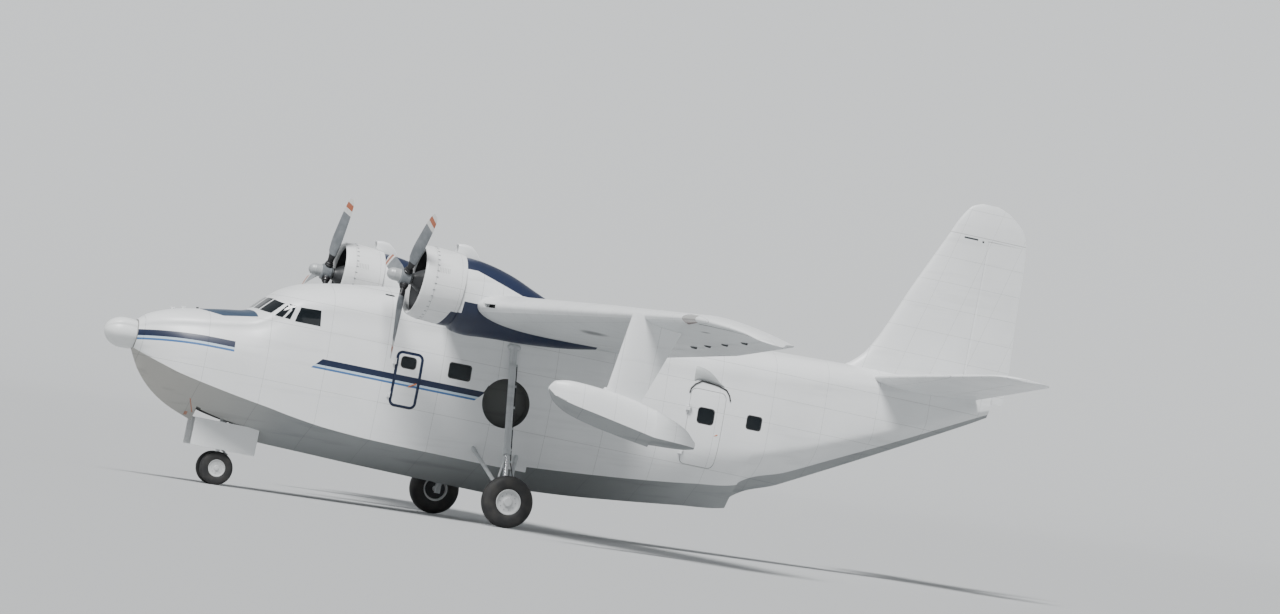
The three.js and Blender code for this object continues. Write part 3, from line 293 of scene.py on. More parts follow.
def rounded(area, corner, steps=8):
    """Outline of a rectangle (from, to, sill, head) with round corners, as (station, height)."""
    s0, s1, z0, z1 = area
    middles = [(s1 - corner, z1 - corner), (s0 + corner, z1 - corner),
               (s0 + corner, z0 + corner), (s1 - corner, z0 + corner)]
    return [(cs + corner * math.cos(a), cz + corner * math.sin(a)) for k, (cs, cz) in enumerate(middles)
            for a in np.linspace(k, k + 1, steps + 1) * math.pi / 2]


def panel(name, area, corner, y0, y1):
    """Rounded rectangle in the side view, from y0 to y1."""
    outline = rounded(area, corner)
    return loft(name, [[(s, y, z) for s, z in outline] for y in (y0, y1)])


def plain(obj):
    """The object's evaluated mesh replaces its own, and its modifiers go."""
    evaluated = obj.evaluated_get(bpy.context.evaluated_depsgraph_get())
    mesh = bpy.data.meshes.new_from_object(evaluated)
    obj.modifiers.clear()
    old, obj.data = obj.data, mesh
    mesh.name = obj.name
    bpy.data.meshes.remove(old)
    return obj


def boolean(obj, operation, others, keep=False):
    """Cuts, joins or intersects a solid with others, which are then deleted."""
    for other in others:
        modifier = obj.modifiers.new("cut", "BOOLEAN")
        modifier.operation = operation
        modifier.solver = "MANIFOLD"
        modifier.object = other
        other.hide_render = True
    plain(obj)
    for other in () if keep else others:
        bpy.data.objects.remove(other)
    return obj


def copy_of(obj, name):
    twin = linked(name, obj.data.copy())
    twin.data.name = name
    return twin


def mirrored(obj, name):
    twin = copy_of(obj, name)
    twin.data.transform(Matrix.Scale(-1, 4, (0, 1, 0)))
    twin.data.flip_normals()
    return twin


# %% [markdown]
# ## Finished pieces
# A finished piece is its parts, each with its own finish, joined to one object. It rides a body
# and may replace a solid of the imported model. Most pieces come in pairs: the port one is made and
# its mirror image goes to the starboard body.

# %% Joining pieces and handing them over
def joined(name, objects):
    """One object from several, with their materials kept."""
    with bpy.context.temp_override(active_object=objects[0], selected_editable_objects=objects,
                                   object=objects[0], selected_objects=objects):
        bpy.ops.object.join()
    objects[0].name = objects[0].data.name = name
    return objects[0]


def dress(obj, *finishes):
    """Gives a piece its materials, in place of any that a cut left."""
    obj.data.materials.clear()
    for finish in finishes:
        obj.data.materials.append(finish)
    return obj


def assembled(name, *groups):
    """One object from groups of parts, each group a finish and then its parts."""
    return joined(name, [dress(part, finish) for finish, *parts in groups for part in parts])


def settle(obj, body, replaces=(), angle=32):
    """Shades a finished piece and hands it to its body."""
    obj.data.shade_smooth()
    obj.data.set_sharp_from_angle(angle=math.radians(angle))
    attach(obj, body)
    if replaces:
        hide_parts(*replaces)
    triangles = sum(len(face.vertices) - 2 for face in obj.data.polygons)
    print(f"{obj.name}: {triangles} triangles on {body}")


def settle_pair(obj, body, node=None, angle=32):
    """Settles a port piece and its mirror image, whose names say starboard for port."""
    twin = mirrored(obj, obj.name.replace("port", "starboard"))
    for piece, change in ((twin, "starboard"), (obj, "port")):
        nodes = (node.replace("port", change),) if node else ()
        settle(piece, body.replace("port", change), nodes, angle)

# %% [markdown]
# ## Camera, light and floor
# The camera stands about 118 metres off the port bow, low over the ground, with a long lens. The
# floor is a very wide shallow bowl, so that no horizon line shows from any side. One soft key light
# comes from above the camera's side, and a weak fill lifts the shadows.

# %% Camera, light and floor
SENSOR, LENS = 36.0, 168.83
CAMERA_PLACE = (34.173, 114.89, 1.812)
CAMERA_RIGHT, CAMERA_BACK = (-0.94415, 0.29579, 0.14521), (0.29548, 0.95504, -0.02418)
camera_data = bpy.data.cameras.new("camera")
camera_data.sensor_width, camera_data.lens = SENSOR, LENS
camera_data.clip_start, camera_data.clip_end = 1, 3000
camera = linked("camera", camera_data)
right, back = Vector(CAMERA_RIGHT).normalized(), Vector(CAMERA_BACK).normalized()
turn = Matrix((right, back.cross(right), back)).transposed().to_4x4()
camera.matrix_world = Matrix.Translation(CAMERA_PLACE) @ turn
bpy.context.scene.camera = camera

FLOOR_RADIUS, RIM_RADIUS, FLOOR_SIDES = 520.0, 380.0, 96
bowl = [(r, 0.0) for r in (0.5, 40.0, 200.0, FLOOR_RADIUS)]
bowl += [(FLOOR_RADIUS + RIM_RADIUS * math.sin(a), RIM_RADIUS * (1 - math.cos(a)))
         for a in np.linspace(0, math.pi / 2, 13)[1:]]
floor_mesh = bpy.data.meshes.new("floor")
floor_points = [(r * math.cos(a), r * math.sin(a), z) for r, z in bowl for a in circle(FLOOR_SIDES)]
floor_faces = loft_faces(len(bowl), FLOOR_SIDES, "open") + [list(range(FLOOR_SIDES))[::-1]]
floor_mesh.from_pydata(floor_points, [], floor_faces)
floor_mesh.shade_smooth()
floor_grey = bpy.data.materials.new("floor_grey")
floor_grey.use_nodes = True
floor_shader = floor_grey.node_tree.nodes["Principled BSDF"]
floor_shader.inputs["Base Color"].default_value = (0.44, 0.45, 0.455, 1)
floor_shader.inputs["Roughness"].default_value = 0.9
floor_mesh.materials.append(floor_grey)
linked("floor", floor_mesh)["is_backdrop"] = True

world = bpy.data.worlds.new("studio")
bpy.context.scene.world = world
world.use_nodes = True
world.node_tree.nodes["Background"].inputs["Color"].default_value = (0.93, 0.96, 1.0, 1)
world.node_tree.nodes["Background"].inputs["Strength"].default_value = 0.34


def lamp(name, strength, spread, towards):
    data = bpy.data.lights.new(name, "SUN")
    data.energy, data.angle = strength, math.radians(spread)
    light = linked(name, data)
    light.rotation_mode = "QUATERNION"
    light.rotation_quaternion = Vector(towards).to_track_quat("-Z", "Y")


lamp("key", 5.2, 20, (-0.35, -0.55, -1.0))
lamp("fill", 0.5, 60, (0.6, -0.9, -0.35))
print("camera:", [round(v, 2) for v in camera.location])

# %% [markdown]
# ## Finishes
# Each finish is a small sum of nodes. Its coordinates are the drawing frame's own, in metres, so a
# stripe is a band of heights between two stations, and a panel seam repeats at the frames. Dirt,
# chalking and streaks come from noise, and each changes roughness as well as colour.

# %% Finish helper
def add_node(tree, kind, inputs, out, settings):
    """A node whose inputs are wired where they are sockets, and set where they are values."""
    made = tree.nodes.new(kind)
    for key, value in settings.items():
        setattr(made, key, value)
    for key, value in inputs.items():
        if isinstance(value, bpy.types.NodeSocket):
            tree.links.new(value, made.inputs[key])
        else:
            made.inputs[key].default_value = value
    return made.outputs[out]


class Finish:
    """A procedural material in the drawing frame: s aft, y to port, z up, in metres."""

    def __init__(self, name, **sockets):
        self.material = bpy.data.materials.new(name)
        self.material.use_nodes = True
        self.tree = self.material.node_tree
        self.shader = self.tree.nodes["Principled BSDF"]
        for socket, value in sockets.items():
            self.shader.inputs[socket.replace("_", " ")].default_value = value
        self.place = self.node("TexCoord", {}, out="Object")
        self.y = self.dot((0, 1, 0))
        self.s = self.add(self.dot((-COS, 0, -SIN)), (NOSE_X * COS + NOSE_Z * SIN) / 1000)
        self.z = self.add(self.dot((-SIN, 0, COS)), (NOSE_X * SIN - NOSE_Z * COS) / 1000)

    def node(self, kind, inputs, out=0, **settings):
        return add_node(self.tree, "ShaderNode" + kind, inputs, out, settings)

    def math(self, operation, *values):
        return self.node("Math", dict(enumerate(values)), operation=operation)

    def chain(self, operation, first, *others):
        for value in others:
            first = self.math(operation, first, value)
        return first

    def dot(self, direction):
        inputs = {0: self.place, 1: direction}
        return self.node("VectorMath", inputs, out="Value", operation="DOT_PRODUCT")

    def size(self, value):
        return self.math("ABSOLUTE", value)

    def add(self, a, b):
        return self.math("ADD", a, b)

    def less(self, a, b):
        return self.math("SUBTRACT", a, b)

    def times(self, *values):
        return self.chain("MULTIPLY", *values)

    def either(self, *values):
        return self.chain("MAXIMUM", *values)

    def above(self, value, limit):
        return self.math("GREATER_THAN", value, limit)

    def below(self, value, limit):
        return self.math("LESS_THAN", value, limit)

    def between(self, value, low, high):
        return self.math("COMPARE", value, (low + high) / 2, (high - low) / 2)

    def distance(self, a, b):
        """Length of the long side over two short ones at a right angle."""
        return self.math("SQRT", self.add(self.times(a, a), self.times(b, b)))

    def line(self, value, pitch, start, width):
        """1 on thin lines that repeat at a pitch."""
        offset = self.math("FLOORED_MODULO", self.add(value, pitch / 2 - start), pitch)
        return self.between(offset, pitch / 2 - width / 2, pitch / 2 + width / 2)

    def noise(self, scale, stretch=(1, 1, 1), detail=4.0):
        vector = self.node("VectorMath", {0: self.place, 1: stretch}, operation="MULTIPLY")
        return self.node("TexNoise", {"Vector": vector, "Scale": scale, "Detail": detail})

    def ramp(self, value, low, high, to_low=0.0, to_high=1.0):
        inputs = {"Value": value, "From Min": low, "From Max": high,
                  "To Min": to_low, "To Max": to_high}
        return self.node("MapRange", inputs)

    def mix(self, mask, a, b):
        return self.node("Mix", {0: mask, 6: a, 7: b}, out=2, data_type="RGBA")

    def shade(self, colour, mask, strength):
        """Darkens a colour where the mask is high."""
        grey = self.ramp(mask, 0, 1, 1, 1 - strength)
        return self.node("Mix", {0: 1.0, 6: colour, 7: grey}, out=2,
                         data_type="RGBA", blend_type="MULTIPLY")

    def wire(self, colour=None, roughness=None, height=None, depth=0.001):
        bump = None
        if height is not None:
            bump = self.node("Bump", {"Height": height, "Strength": 0.6, "Distance": depth})
        for socket, value in (("Base Color", colour), ("Roughness", roughness), ("Normal", bump)):
            if value is not None:
                self.tree.links.new(value, self.shader.inputs[socket])
        return self.material


def rgb(red, green, blue):
    return (red, green, blue, 1.0)


# %% [markdown]
# ## Paint and plain stock
# Nearly everything outside is satin enamel, so one function makes every paint, and a livery or
# seams are functions handed to it. Metal, rubber and cloth are simpler: two tones mottled by one
# noise, with roughness from another.

# %% Paint, and finishes for plain stock
WHITE = rgb(0.80, 0.815, 0.82)
NAVY = rgb(0.008, 0.016, 0.048)
SOOT_NAVY = rgb(0.010, 0.017, 0.045)
LIGHT_BLUE = rgb(0.06, 0.155, 0.36)
PALE_BLUE = rgb(0.52, 0.64, 0.74)
SLATE = rgb(0.035, 0.062, 0.105)
KEEL_GREY = rgb(0.30, 0.315, 0.32)
LIT_BOW_BEIGE = rgb(0.43, 0.42, 0.39)
RUST = rgb(0.40, 0.13, 0.06)
WING_GREY = rgb(0.62, 0.64, 0.645)


def paint(name, base=WHITE, livery=None, seams=None, dirt=0.10, gloss=0.34):
    """Satin enamel with chalking, streaks and panel seams; livery adds its own colours."""
    f = Finish(name, Metallic=0.0, Coat_Weight=0.12, Coat_Roughness=0.25)
    cloud = f.noise(0.9, detail=5.0)
    streak = f.noise(2.2, (0.25, 1, 3.2))
    speck = f.noise(38, detail=2.0)
    colour = f.mix(f.ramp(cloud, 0.35, 0.7), base, tuple(v * 0.93 for v in base[:3]) + (1,))
    for mask, tint in livery(f) if livery else ():
        colour = f.mix(mask, colour, tint)
    colour = f.shade(colour, f.ramp(streak, 0.55, 0.8), dirt)
    colour = f.shade(colour, f.ramp(speck, 0.66, 0.74), dirt * 0.6)
    height = f.ramp(f.noise(5.0), 0, 1, 0, 0.6)
    if seams:
        mask = seams(f)
        colour = f.shade(colour, mask, 0.42)
        height = f.less(height, f.times(mask, 1.5))
    roughness = f.ramp(cloud, 0.3, 0.75, gloss, gloss + 0.16)
    return f.wire(colour, roughness, height, 0.0015)


def mottled(name, dark, light, grain, rough=None, bump=None, **sockets):
    """Two tones mixed by a noise; rough is a scale and two roughnesses, bump a scale and a depth."""
    f = Finish(name, **sockets)
    roughness = rough and f.ramp(f.noise(rough[0]), 0.3, 0.7, *rough[1:])
    height, depth = (f.noise(bump[0]), bump[1]) if bump else (None, 0.0)
    return f.wire(f.mix(f.noise(grain), dark, light), roughness, height, depth)


# %% [markdown]
# ## Doors
# The hull's paint needs the doors before the hull is cut, because a navy line runs round the forward
# one, so their places come here. Both are on the port side. Each hangs on two hinges, on a vertical
# line just outside its leading edge.

# %% The two cabin doors
class Door:
    """One cabin door in the side view, in millimetres, with the line that it hangs on."""

    def __init__(self, name, area, hinge, knuckles, reach, window):
        self.name, self.area, self.window = name, area, window
        self.start, self.end, self.sill, self.head = area
        self.hinge_s, self.hinge_y = hinge
        self.knuckles, self.reach = knuckles, reach


DOOR_CORNER = 120
DOORS = [
    Door("door_forward", (5580, 6120, -330, 760), (5572, 1266), (-180, 480), 90, (5690, 5980, 450, 660)),
    Door("door_aft", (11710, 12470, -300, 1220), (11702, 1166), (-120, 760), 150, (11920, 12260, 560, 860)),
]
print("doors:", [door.name for door in DOORS])

# %% [markdown]
# ## The hull's livery
# A navy band and a thin light-blue line run from the radome's seam to the wheel well, and stop on
# both sides of a place forward that is left bare. A slate panel on the deck keeps glare out of the
# pilots' eyes. The bottom is grey, and paler at the bow, where painted light from ahead lifts it.

# %% Finishes of the hull
STRIPE_START, BARE_FROM, BARE_TO, STRIPE_END = 0.602, 2.39, 4.0, 7.36
BAND, THIN_LINE, PALE_LINE = (0.172, 0.292), (0.088, 0.128), (0.128, 0.172)
DECK_PANEL = (1.75, 2.74)
# Deck panel's edge by station: heights at the front, at the narrowest place and at the back
DECK_EDGE = ((1.73, 0.796), (2.14, 0.743), (2.91, 0.878))
DOOR_LINE = (-0.045, 0.012)


def rim_distance(f, area, corner):
    """Distance outside a rounded rectangle in the side view, negative inside it, in metres."""
    start, end, low, high = (v / 1000 for v in area)
    corner /= 1000
    qs, qz = (f.add(f.size(f.add(value, -(a + b) / 2)), corner - (b - a) / 2)
              for value, a, b in ((f.s, start, end), (f.z, low, high)))
    away = f.distance(f.either(qs, 0.0), f.either(qz, 0.0))
    return f.add(f.add(away, f.math("MINIMUM", f.either(qs, qz), 0.0)), -corner)


def hull_livery(f):
    bend = f.ramp(f.s, 0.6, 2.0, 1.0, 0.0)
    height = f.add(f.z, f.times(bend, bend, 0.13))
    slanted = f.less(f.s, f.add(f.z, -0.17))
    along = f.either(f.between(f.s, STRIPE_START, BARE_FROM), f.between(slanted, BARE_TO, STRIPE_END))
    band, thin, pale = (f.times(along, f.between(height, *part)) for part in (BAND, THIN_LINE, PALE_LINE))
    edge = f.either(*(f.ramp(f.s, a, b, low, high) for (a, low), (b, high) in zip(DECK_EDGE, DECK_EDGE[1:])))
    aft = f.add(f.s, f.times(f.size(f.y), -0.07))
    deck = f.times(f.between(aft, *DECK_PANEL), f.above(f.z, edge))
    rim = rim_distance(f, DOORS[0].area, DOOR_CORNER)
    outline = f.times(f.between(rim, *DOOR_LINE), f.above(f.y, 0.6))
    return [(pale, PALE_BLUE), (thin, LIGHT_BLUE), (band, NAVY), (deck, SLATE), (outline, NAVY),
            (f.below(f.s, 0.612), rgb(0.22, 0.22, 0.21))]


def keel_livery(f):
    """The bow is paler than the rest of the bottom, partly as painted light from ahead, and rust runs from
    the nose gear's bay.
    """
    across = f.less(f.s, f.add(f.times(f.z, -0.56), 1.323))
    streak = f.times(f.between(across, -0.012, 0.012), f.between(f.z, -1.22, -0.96))
    patch = f.times(f.between(f.s, 1.87, 1.93), f.between(f.z, -1.29, -1.22))
    # The beige towards the bow is the bottom's paint tone with painted light from ahead on it.
    return [(f.ramp(f.s, 3.8, 1.3), LIT_BOW_BEIGE), (f.times(f.either(streak, patch), 0.75), RUST)]


def hull_seams(f):
    frames = f.line(f.s, 1.16, 0.72, 0.006)
    strakes = [f.between(f.z, h - 0.003, h + 0.003) for h in (-0.32, 0.83, 1.36, 1.86)]
    return f.either(frames, *strakes)


HULL_PAINT = paint("hull_paint", livery=hull_livery, seams=hull_seams)
KEEL_PAINT = paint("keel_paint", KEEL_GREY, keel_livery, hull_seams, dirt=0.28, gloss=0.5)
RADOME_PAINT = paint("radome_paint", rgb(0.77, 0.785, 0.78), dirt=0.07, gloss=0.38)
print("finishes:", [m.name for m in bpy.data.materials if m.name.endswith("paint")])

# %% [markdown]
# ## The hull
# A flying boat's hull is planked, so its section has a sharp chine between the vee bottom and the
# sides, and two steps that break the water's hold. The skin is one loft through a section every
# nine centimetres. The room inside is a second loft with a flat floor, cut out of it.

# %% Hull sections
HULL_START, MAIN_STEP, AFT_STEP, HULL_END = 600.5, 8600.0, 13200.0, 18350.0
FLOOR_Z, HULL_WALL = -520.0, 50.0
ROOM_START, ROOM_END = 2950.0, 12600.0
OUTSIDE = 1500.0
ROOM_SECTION = (1, 4, 16)


def hull_row(s):
    return smooth_row(FOREBODY if s <= MAIN_STEP else AFTERBODY, s)


def half_section(row, bottom=9, side=8, top=18):
    """Port half of a section from keel to top."""
    t = np.linspace(0, 1, bottom + 1)[:, None]
    rise = 1.25 * t - 0.25 * t * t
    vee = np.hstack([row["chineY"] * t, row["keel"] + (row["chineZ"] - row["keel"]) * rise])
    t = np.linspace(0, 1, side + 1)[1:, None]
    flare = row["chineY"] + (row["waistY"] - row["chineY"]) * np.sin(t * np.pi / 2)
    low = np.hstack([flare, row["chineZ"] + (row["waistZ"] - row["chineZ"]) * t])
    high = np.hstack([row["waistY"] + (row["shoulderY"] - row["waistY"]) * t * t,
                      row["waistZ"] + (row["shoulderZ"] - row["waistZ"]) * t])
    a = np.linspace(0, np.pi / 2, top + 1)[1:, None]
    crown = np.hstack([row["shoulderY"] * np.clip(np.cos(a), 0, 1) ** 0.9,
                       row["shoulderZ"] + (row["top"] - row["shoulderZ"]) * np.sin(a) ** 0.9])
    crown[-1, 0] = 0
    return np.vstack([vee, low, high, crown])


def section_ring(s, half):
    both = np.vstack([half, half[1:-1][::-1] * (-1, 1)])
    return np.column_stack([np.full(len(both), s), both])


def hull_loft(name, start, end, grow=0.0, step=90):
    """Outer hull between two stations, pushed out by a margin."""
    rings = []
    parts = [(start, min(end, MAIN_STEP)), (max(start, MAIN_STEP + 2), min(end, AFT_STEP)),
             (max(start, AFT_STEP + 2), end)]
    for a, b in parts:
        for s in stops(a, b, step) if b > a else ():
            row = hull_row(s)
            row["keel"] -= grow
            for outer in ("top", "chineY", "waistY", "shoulderY"):
                row[outer] += grow
            rings.append(section_ring(s, half_section(row)))
    return loft(name, rings)


def room_row(row):
    share = (FLOOR_Z - row["chineZ"]) / (row["waistZ"] - row["chineZ"])
    flare = row["chineY"] + (row["waistY"] - row["chineY"]) * math.sin(share * math.pi / 2)
    return {
        "keel": FLOOR_Z, "chineZ": FLOOR_Z,
        "chineY": min(row["waistY"], flare) - HULL_WALL - 60,
        "waistZ": max(row["waistZ"], FLOOR_Z + 100), "waistY": row["waistY"] - HULL_WALL,
        "shoulderZ": row["shoulderZ"] - 20, "shoulderY": row["shoulderY"] - HULL_WALL,
        "top": row["top"] - HULL_WALL,
    }


def room_loft(name):
    rings = []
    for s in stops(ROOM_START, ROOM_END, 200):
        row = hull_row(s if abs(s - MAIN_STEP) > 1 else MAIN_STEP + 2)
        rings.append(section_ring(s, half_section(room_row(row), *ROOM_SECTION)))
    return loft(name, rings)


print("section points:", len(section_ring(0, half_section(hull_row(6000.0)))))

# %% [markdown]
# ## Openings in the skin
# Windows are rounded rectangles pushed through the side. Windscreen panes are prisms pushed aft
# from ahead, so that their edges look straight to the crew. Both doors leave a gap all round.
# The round wheel wells get a lining before they are cut, and the nose bay is cut with the windows.

# %% Shapes of the openings
WINDOWS = [(6670, 7110, 440, 730), (8900, 9340, 470, 760), (10050, 10490, 490, 780),
           (13000, 13300, 640, 900)]
# Cockpit side panes: how far in each reaches, and its corners in the side view
SIDE_PANES = {"corner": (880, [(3070, 945), (3370, 925), (3455, 1205), (3320, 1228)]),
              "side": (700, [(3460, 905), (3975, 905), (3950, 1218), (3545, 1200)])}
# Windscreen panes from ahead: distance to port, sill and head of the inner and the outer edge
PANES = [("front", (35, 1035, 1285), (430, 1020, 1275)),
         ("quarter", (485, 1010, 1265), (850, 975, 1215))]
WINDSCREEN = (2500, 3320)
WINDOW_CORNER, DOOR_GAP = 60, 8
WELL_S, WELL_Z, WELL_RADIUS, WELL_DEPTH, WELL_LINING = 7928.0, 152.0, 488.0, 930.0, 25
BAY_S, BAY_Y, BAY_Z = (2050, 3380), (-300, 300), (-1700, -960)


def grown(area, by):
    return (area[0] - by, area[1] + by, area[2] - by, area[3] + by)


def pane_prism(name, inner, outer, by, side):
    (y0, sill0, head0), (y1, sill1, head1) = inner, outer
    edge = [(y0 - by, sill0 - by), (y1 + by, sill1 - by), (y1 + by, head1 + by), (y0 - by, head0 + by)]
    ends = (WINDSCREEN[0] - by, WINDSCREEN[1] + by)
    return loft(name, [[(s, side * y, z) for y, z in edge] for s in ends])


def side_outline(name, corners, by, y0, y1):
    """Prism through an outline in the side view whose edges have moved out by a margin."""
    p = np.array(corners, float)
    ahead = np.roll(p, -1, 0) - p
    ahead /= np.linalg.norm(ahead, axis=1)[:, None]
    out = ahead[:, ::-1] * (1, -1)
    before = np.roll(out, 1, 0)
    p += by * (before + out) / (1 + (before * out).sum(1))[:, None]
    return loft(name, [[(s, y, z) for s, z in p] for y in (y0, y1)])


def side_prisms(by, by_cabin=None):
    """The window and pane shapes of both sides, grown by a margin, by name."""
    made = {}
    for side, word in ((1, "port"), (-1, "starboard")):
        for name, (inner, corners) in SIDE_PANES.items():
            reach = (side * (inner - by), side * OUTSIDE)
            made[f"glass_{name}_{word}"] = side_outline("cut", corners, by, *reach)
        for name, inner, outer in PANES:
            made[f"glass_{name}_{word}"] = pane_prism("cut", inner, outer, by, side)
        for i, area in enumerate(WINDOWS):
            area = grown(area, by if by_cabin is None else by_cabin)
            hole = panel("cut", area, WINDOW_CORNER, side * 150, side * OUTSIDE)
            made[f"cabin_glass_{i + 1}_{word}"] = hole
    return made


def door_prism(area, corner=WINDOW_CORNER):
    return panel("cut", area, corner, 600, OUTSIDE)


def well_plug(side, grow):
    ends = [(WELL_S, side * y, WELL_Z) for y in (WELL_DEPTH - grow, OUTSIDE)]
    return tube("well", *ends, WELL_RADIUS + grow, 72)


# %% Hull skin
shell = hull_loft("hull_skin", HULL_START, HULL_END)
solid_hull = copy_of(shell, "solid_hull")
boolean(shell, "DIFFERENCE", [room_loft("room")])
leaves = {}
for door in DOORS:
    leaf = boolean(copy_of(shell, door.name + "_leaf"), "INTERSECT", [door_prism(door.area, DOOR_CORNER)])
    leaves[door.name] = boolean(leaf, "DIFFERENCE", [door_prism(door.window)])
linings = [boolean(well_plug(side, WELL_LINING), "INTERSECT", [solid_hull], keep=True) for side in (1, -1)]
boolean(shell, "UNION", linings)
boolean(shell, "DIFFERENCE", [well_plug(side, 0) for side in (1, -1)])
door_holes = [door_prism(grown(door.area, DOOR_GAP), DOOR_CORNER) for door in DOORS]
nose_bay = block("bay", BAY_S, BAY_Y, BAY_Z)
boolean(shell, "DIFFERENCE", [nose_bay, *door_holes, *side_prisms(0).values()])
print("hull faces:", len(shell.data.polygons))

# %% [markdown]
# ## Paint inside and under the hull
# The hull is one mesh, so each face is given its paint by where it lies and which way it looks: grey
# below the chine, dark in the wells and the nose bay, and pale green-grey on the cabin's walls.

# %% Bottom, wells and cabin get their own paint
WELL_PAINT = paint("well_paint", rgb(0.10, 0.105, 0.10), dirt=0.3, gloss=0.6)
CABIN_PAINT = paint("cabin_paint", rgb(0.36, 0.38, 0.36), dirt=0.1, gloss=0.5)
HULL_INDEX, KEEL_INDEX, WELL_INDEX, CABIN_INDEX = range(4)


def face_values(mesh, name):
    values = np.zeros(len(mesh.polygons) * 3)
    mesh.polygons.foreach_get(name, values)
    return values.reshape(-1, 3)


def hull_finish_at(s, y, z, normal):
    """Which paint a face takes, by its middle and its outward direction."""
    row = hull_row(min(max(s, 601.0), HULL_END))
    in_well = math.hypot(s - WELL_S, z - WELL_Z) < WELL_RADIUS + 2 and abs(y) > WELL_DEPTH - 2
    in_bay = BAY_S[0] - 1 < s < BAY_S[1] + 1 and abs(y) < BAY_Y[1] + 1 and row["keel"] + 20 < z < BAY_Z[1] + 1
    if (in_well and abs(y) < row["waistY"] - 8) or in_bay:
        return WELL_INDEX
    if z < row["chineZ"] + 2 and normal[2] < -0.1:
        return KEEL_INDEX
    middle = (row["chineZ"] + row["waistZ"]) / 2
    flare = row["chineY"] + (row["waistY"] - row["chineY"]) * 0.7
    half = np.interp(z, [row["chineZ"], middle, row["waistZ"], row["shoulderZ"], row["top"]],
                     [row["chineY"], flare, row["waistY"], row["shoulderY"], 0])
    inside = ROOM_START - 1 < s < ROOM_END + 1 and z > FLOOR_Z - 1
    return CABIN_INDEX if inside and abs(y) < half - 25 and z < row["top"] - 25 else HULL_INDEX


dress(shell, HULL_PAINT, KEEL_PAINT, WELL_PAINT, CABIN_PAINT)
middles, normals = drawing_frame(face_values(shell.data, "center")), face_values(shell.data, "normal")
choice = [hull_finish_at(*middle, normal) for middle, normal in zip(middles, normals)]
shell.data.polygons.foreach_set("material_index", np.array(choice, np.int32))
settle(shell, "airframe", ("hull_bow", "hull_centre", "hull_tail"))

# %% [markdown]
# ## Radome
# The nose is a separate moulding over the radar dish. Each of its rings is the hull's first ring
# drawn in towards the middle on a quarter of an ellipse. It narrows a little again at its seam, which
# leaves the groove that rings the nose.

# %% Radome
RADOME_MIDDLE, RADOME_ROUND, RADOME_SEAM = np.array([0.0, 50.0]), 380.0, 599.2
first = half_section(hull_row(HULL_START))
nose_line = [(RADOME_ROUND * (1 - math.cos(a)), math.sin(a)) for a in np.linspace(0.03, math.pi / 2, 26)]
nose_line += [(450, 0.997), (510, 0.985), (560, 0.965), (RADOME_SEAM, 0.945)]
radome = loft("radome", [section_ring(s, RADOME_MIDDLE + (first - RADOME_MIDDLE) * share)
                         for s, share in nose_line])
settle(dress(radome, RADOME_PAINT), "airframe", ("nose_radome",), angle=50)

# %% [markdown]
# ## Glass and its frames
# Each pane is the hull's own surface, a layer eight millimetres thick cut to the window's shape, so
# it follows the curve of the side. A strip a little larger than each pane stands just proud of the
# skin, black rubber in the cabin and painted metal round the cockpit, whose corner pane also has a
# bent bar across it. The glass is dark because the cabin behind it is.

# %% Glass and window strips
CLEARANCE, COCKPIT_STRIP, CABIN_STRIP = 1.5, 14, 16
LAYER_ENDS, PANE_DEPTHS, STRIP_DEPTHS = (2400, 13500), (-5, -13), (2.5, -14)
CORNER_BAR, BAR_WIDTH = [(3285, 1240), (3365, 1126), (3205, 880)], 36
glass = Finish("window_glass", Base_Color=rgb(0.012, 0.017, 0.021), Transmission_Weight=0.35, IOR=1.5)
GLASS = glass.wire(roughness=glass.ramp(glass.noise(3.0), 0.3, 0.7, 0.03, 0.10))
RUBBER = mottled("rubber_strip", rgb(0.02, 0.021, 0.023), rgb(0.05, 0.05, 0.05), 9.0, Roughness=0.7)


def skin_layer(name, outer, inner):
    start, end = LAYER_ENDS
    layer = hull_loft(name, start, end, outer)
    return boolean(layer, "DIFFERENCE", [hull_loft("inner", start - 30, end + 30, inner)])


def bar(a, b, side):
    """Prism through a straight bar in the side view."""
    a, b = np.array(a, float), np.array(b, float)
    across = (b - a)[::-1] * (1, -1) * BAR_WIDTH / 2 / np.linalg.norm(b - a)
    outline = [a + across, b + across, b - across, a - across]
    return side_outline("bar", outline, 0, side * 700, side * OUTSIDE)


def corner_bars(name, hole):
    """The two arms of the bent bar, trimmed to the pane's opening."""
    side = 1 if name.endswith("port") else -1
    upper, lower = (bar(a, b, side) for a, b in zip(CORNER_BAR, CORNER_BAR[1:]))
    shape = boolean(upper, "UNION", [lower])
    boolean(shape, "INTERSECT", [hole], keep=True)
    return dress(boolean(copy_of(strip_layer, "bars"), "INTERSECT", [shape]), HULL_PAINT)


glass_layer = skin_layer("glass_layer", *PANE_DEPTHS)
strip_layer = skin_layer("strip_layer", *STRIP_DEPTHS)
panes, strip_holes = side_prisms(-CLEARANCE), side_prisms(0)
strip_shapes = side_prisms(COCKPIT_STRIP, by_cabin=CABIN_STRIP)
for door in DOORS:
    name = door.name + "_glass"
    panes[name] = door_prism(grown(door.window, -CLEARANCE))
    strip_holes[name] = door_prism(door.window)
    strip_shapes[name] = door_prism(grown(door.window, CABIN_STRIP), WINDOW_CORNER + CABIN_STRIP)

for name, prism in panes.items():
    cockpit = name.startswith("glass")
    pane = boolean(copy_of(glass_layer, name), "INTERSECT", [prism])
    bars = [corner_bars(name, strip_holes[name])] if name.startswith("glass_corner") else []
    strip = boolean(copy_of(strip_layer, name + "_strip"), "INTERSECT", [strip_shapes[name]])
    boolean(strip, "DIFFERENCE", [strip_holes[name]])
    dress(pane, GLASS)
    dress(strip, HULL_PAINT if cockpit else RUBBER)
    body = name.replace("_glass", "") if name.startswith("door") else "airframe"
    settle(joined(name, [pane, strip, *bars]), body, (name,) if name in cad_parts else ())
for layer in (glass_layer, strip_layer, solid_hull):
    bpy.data.objects.remove(layer)

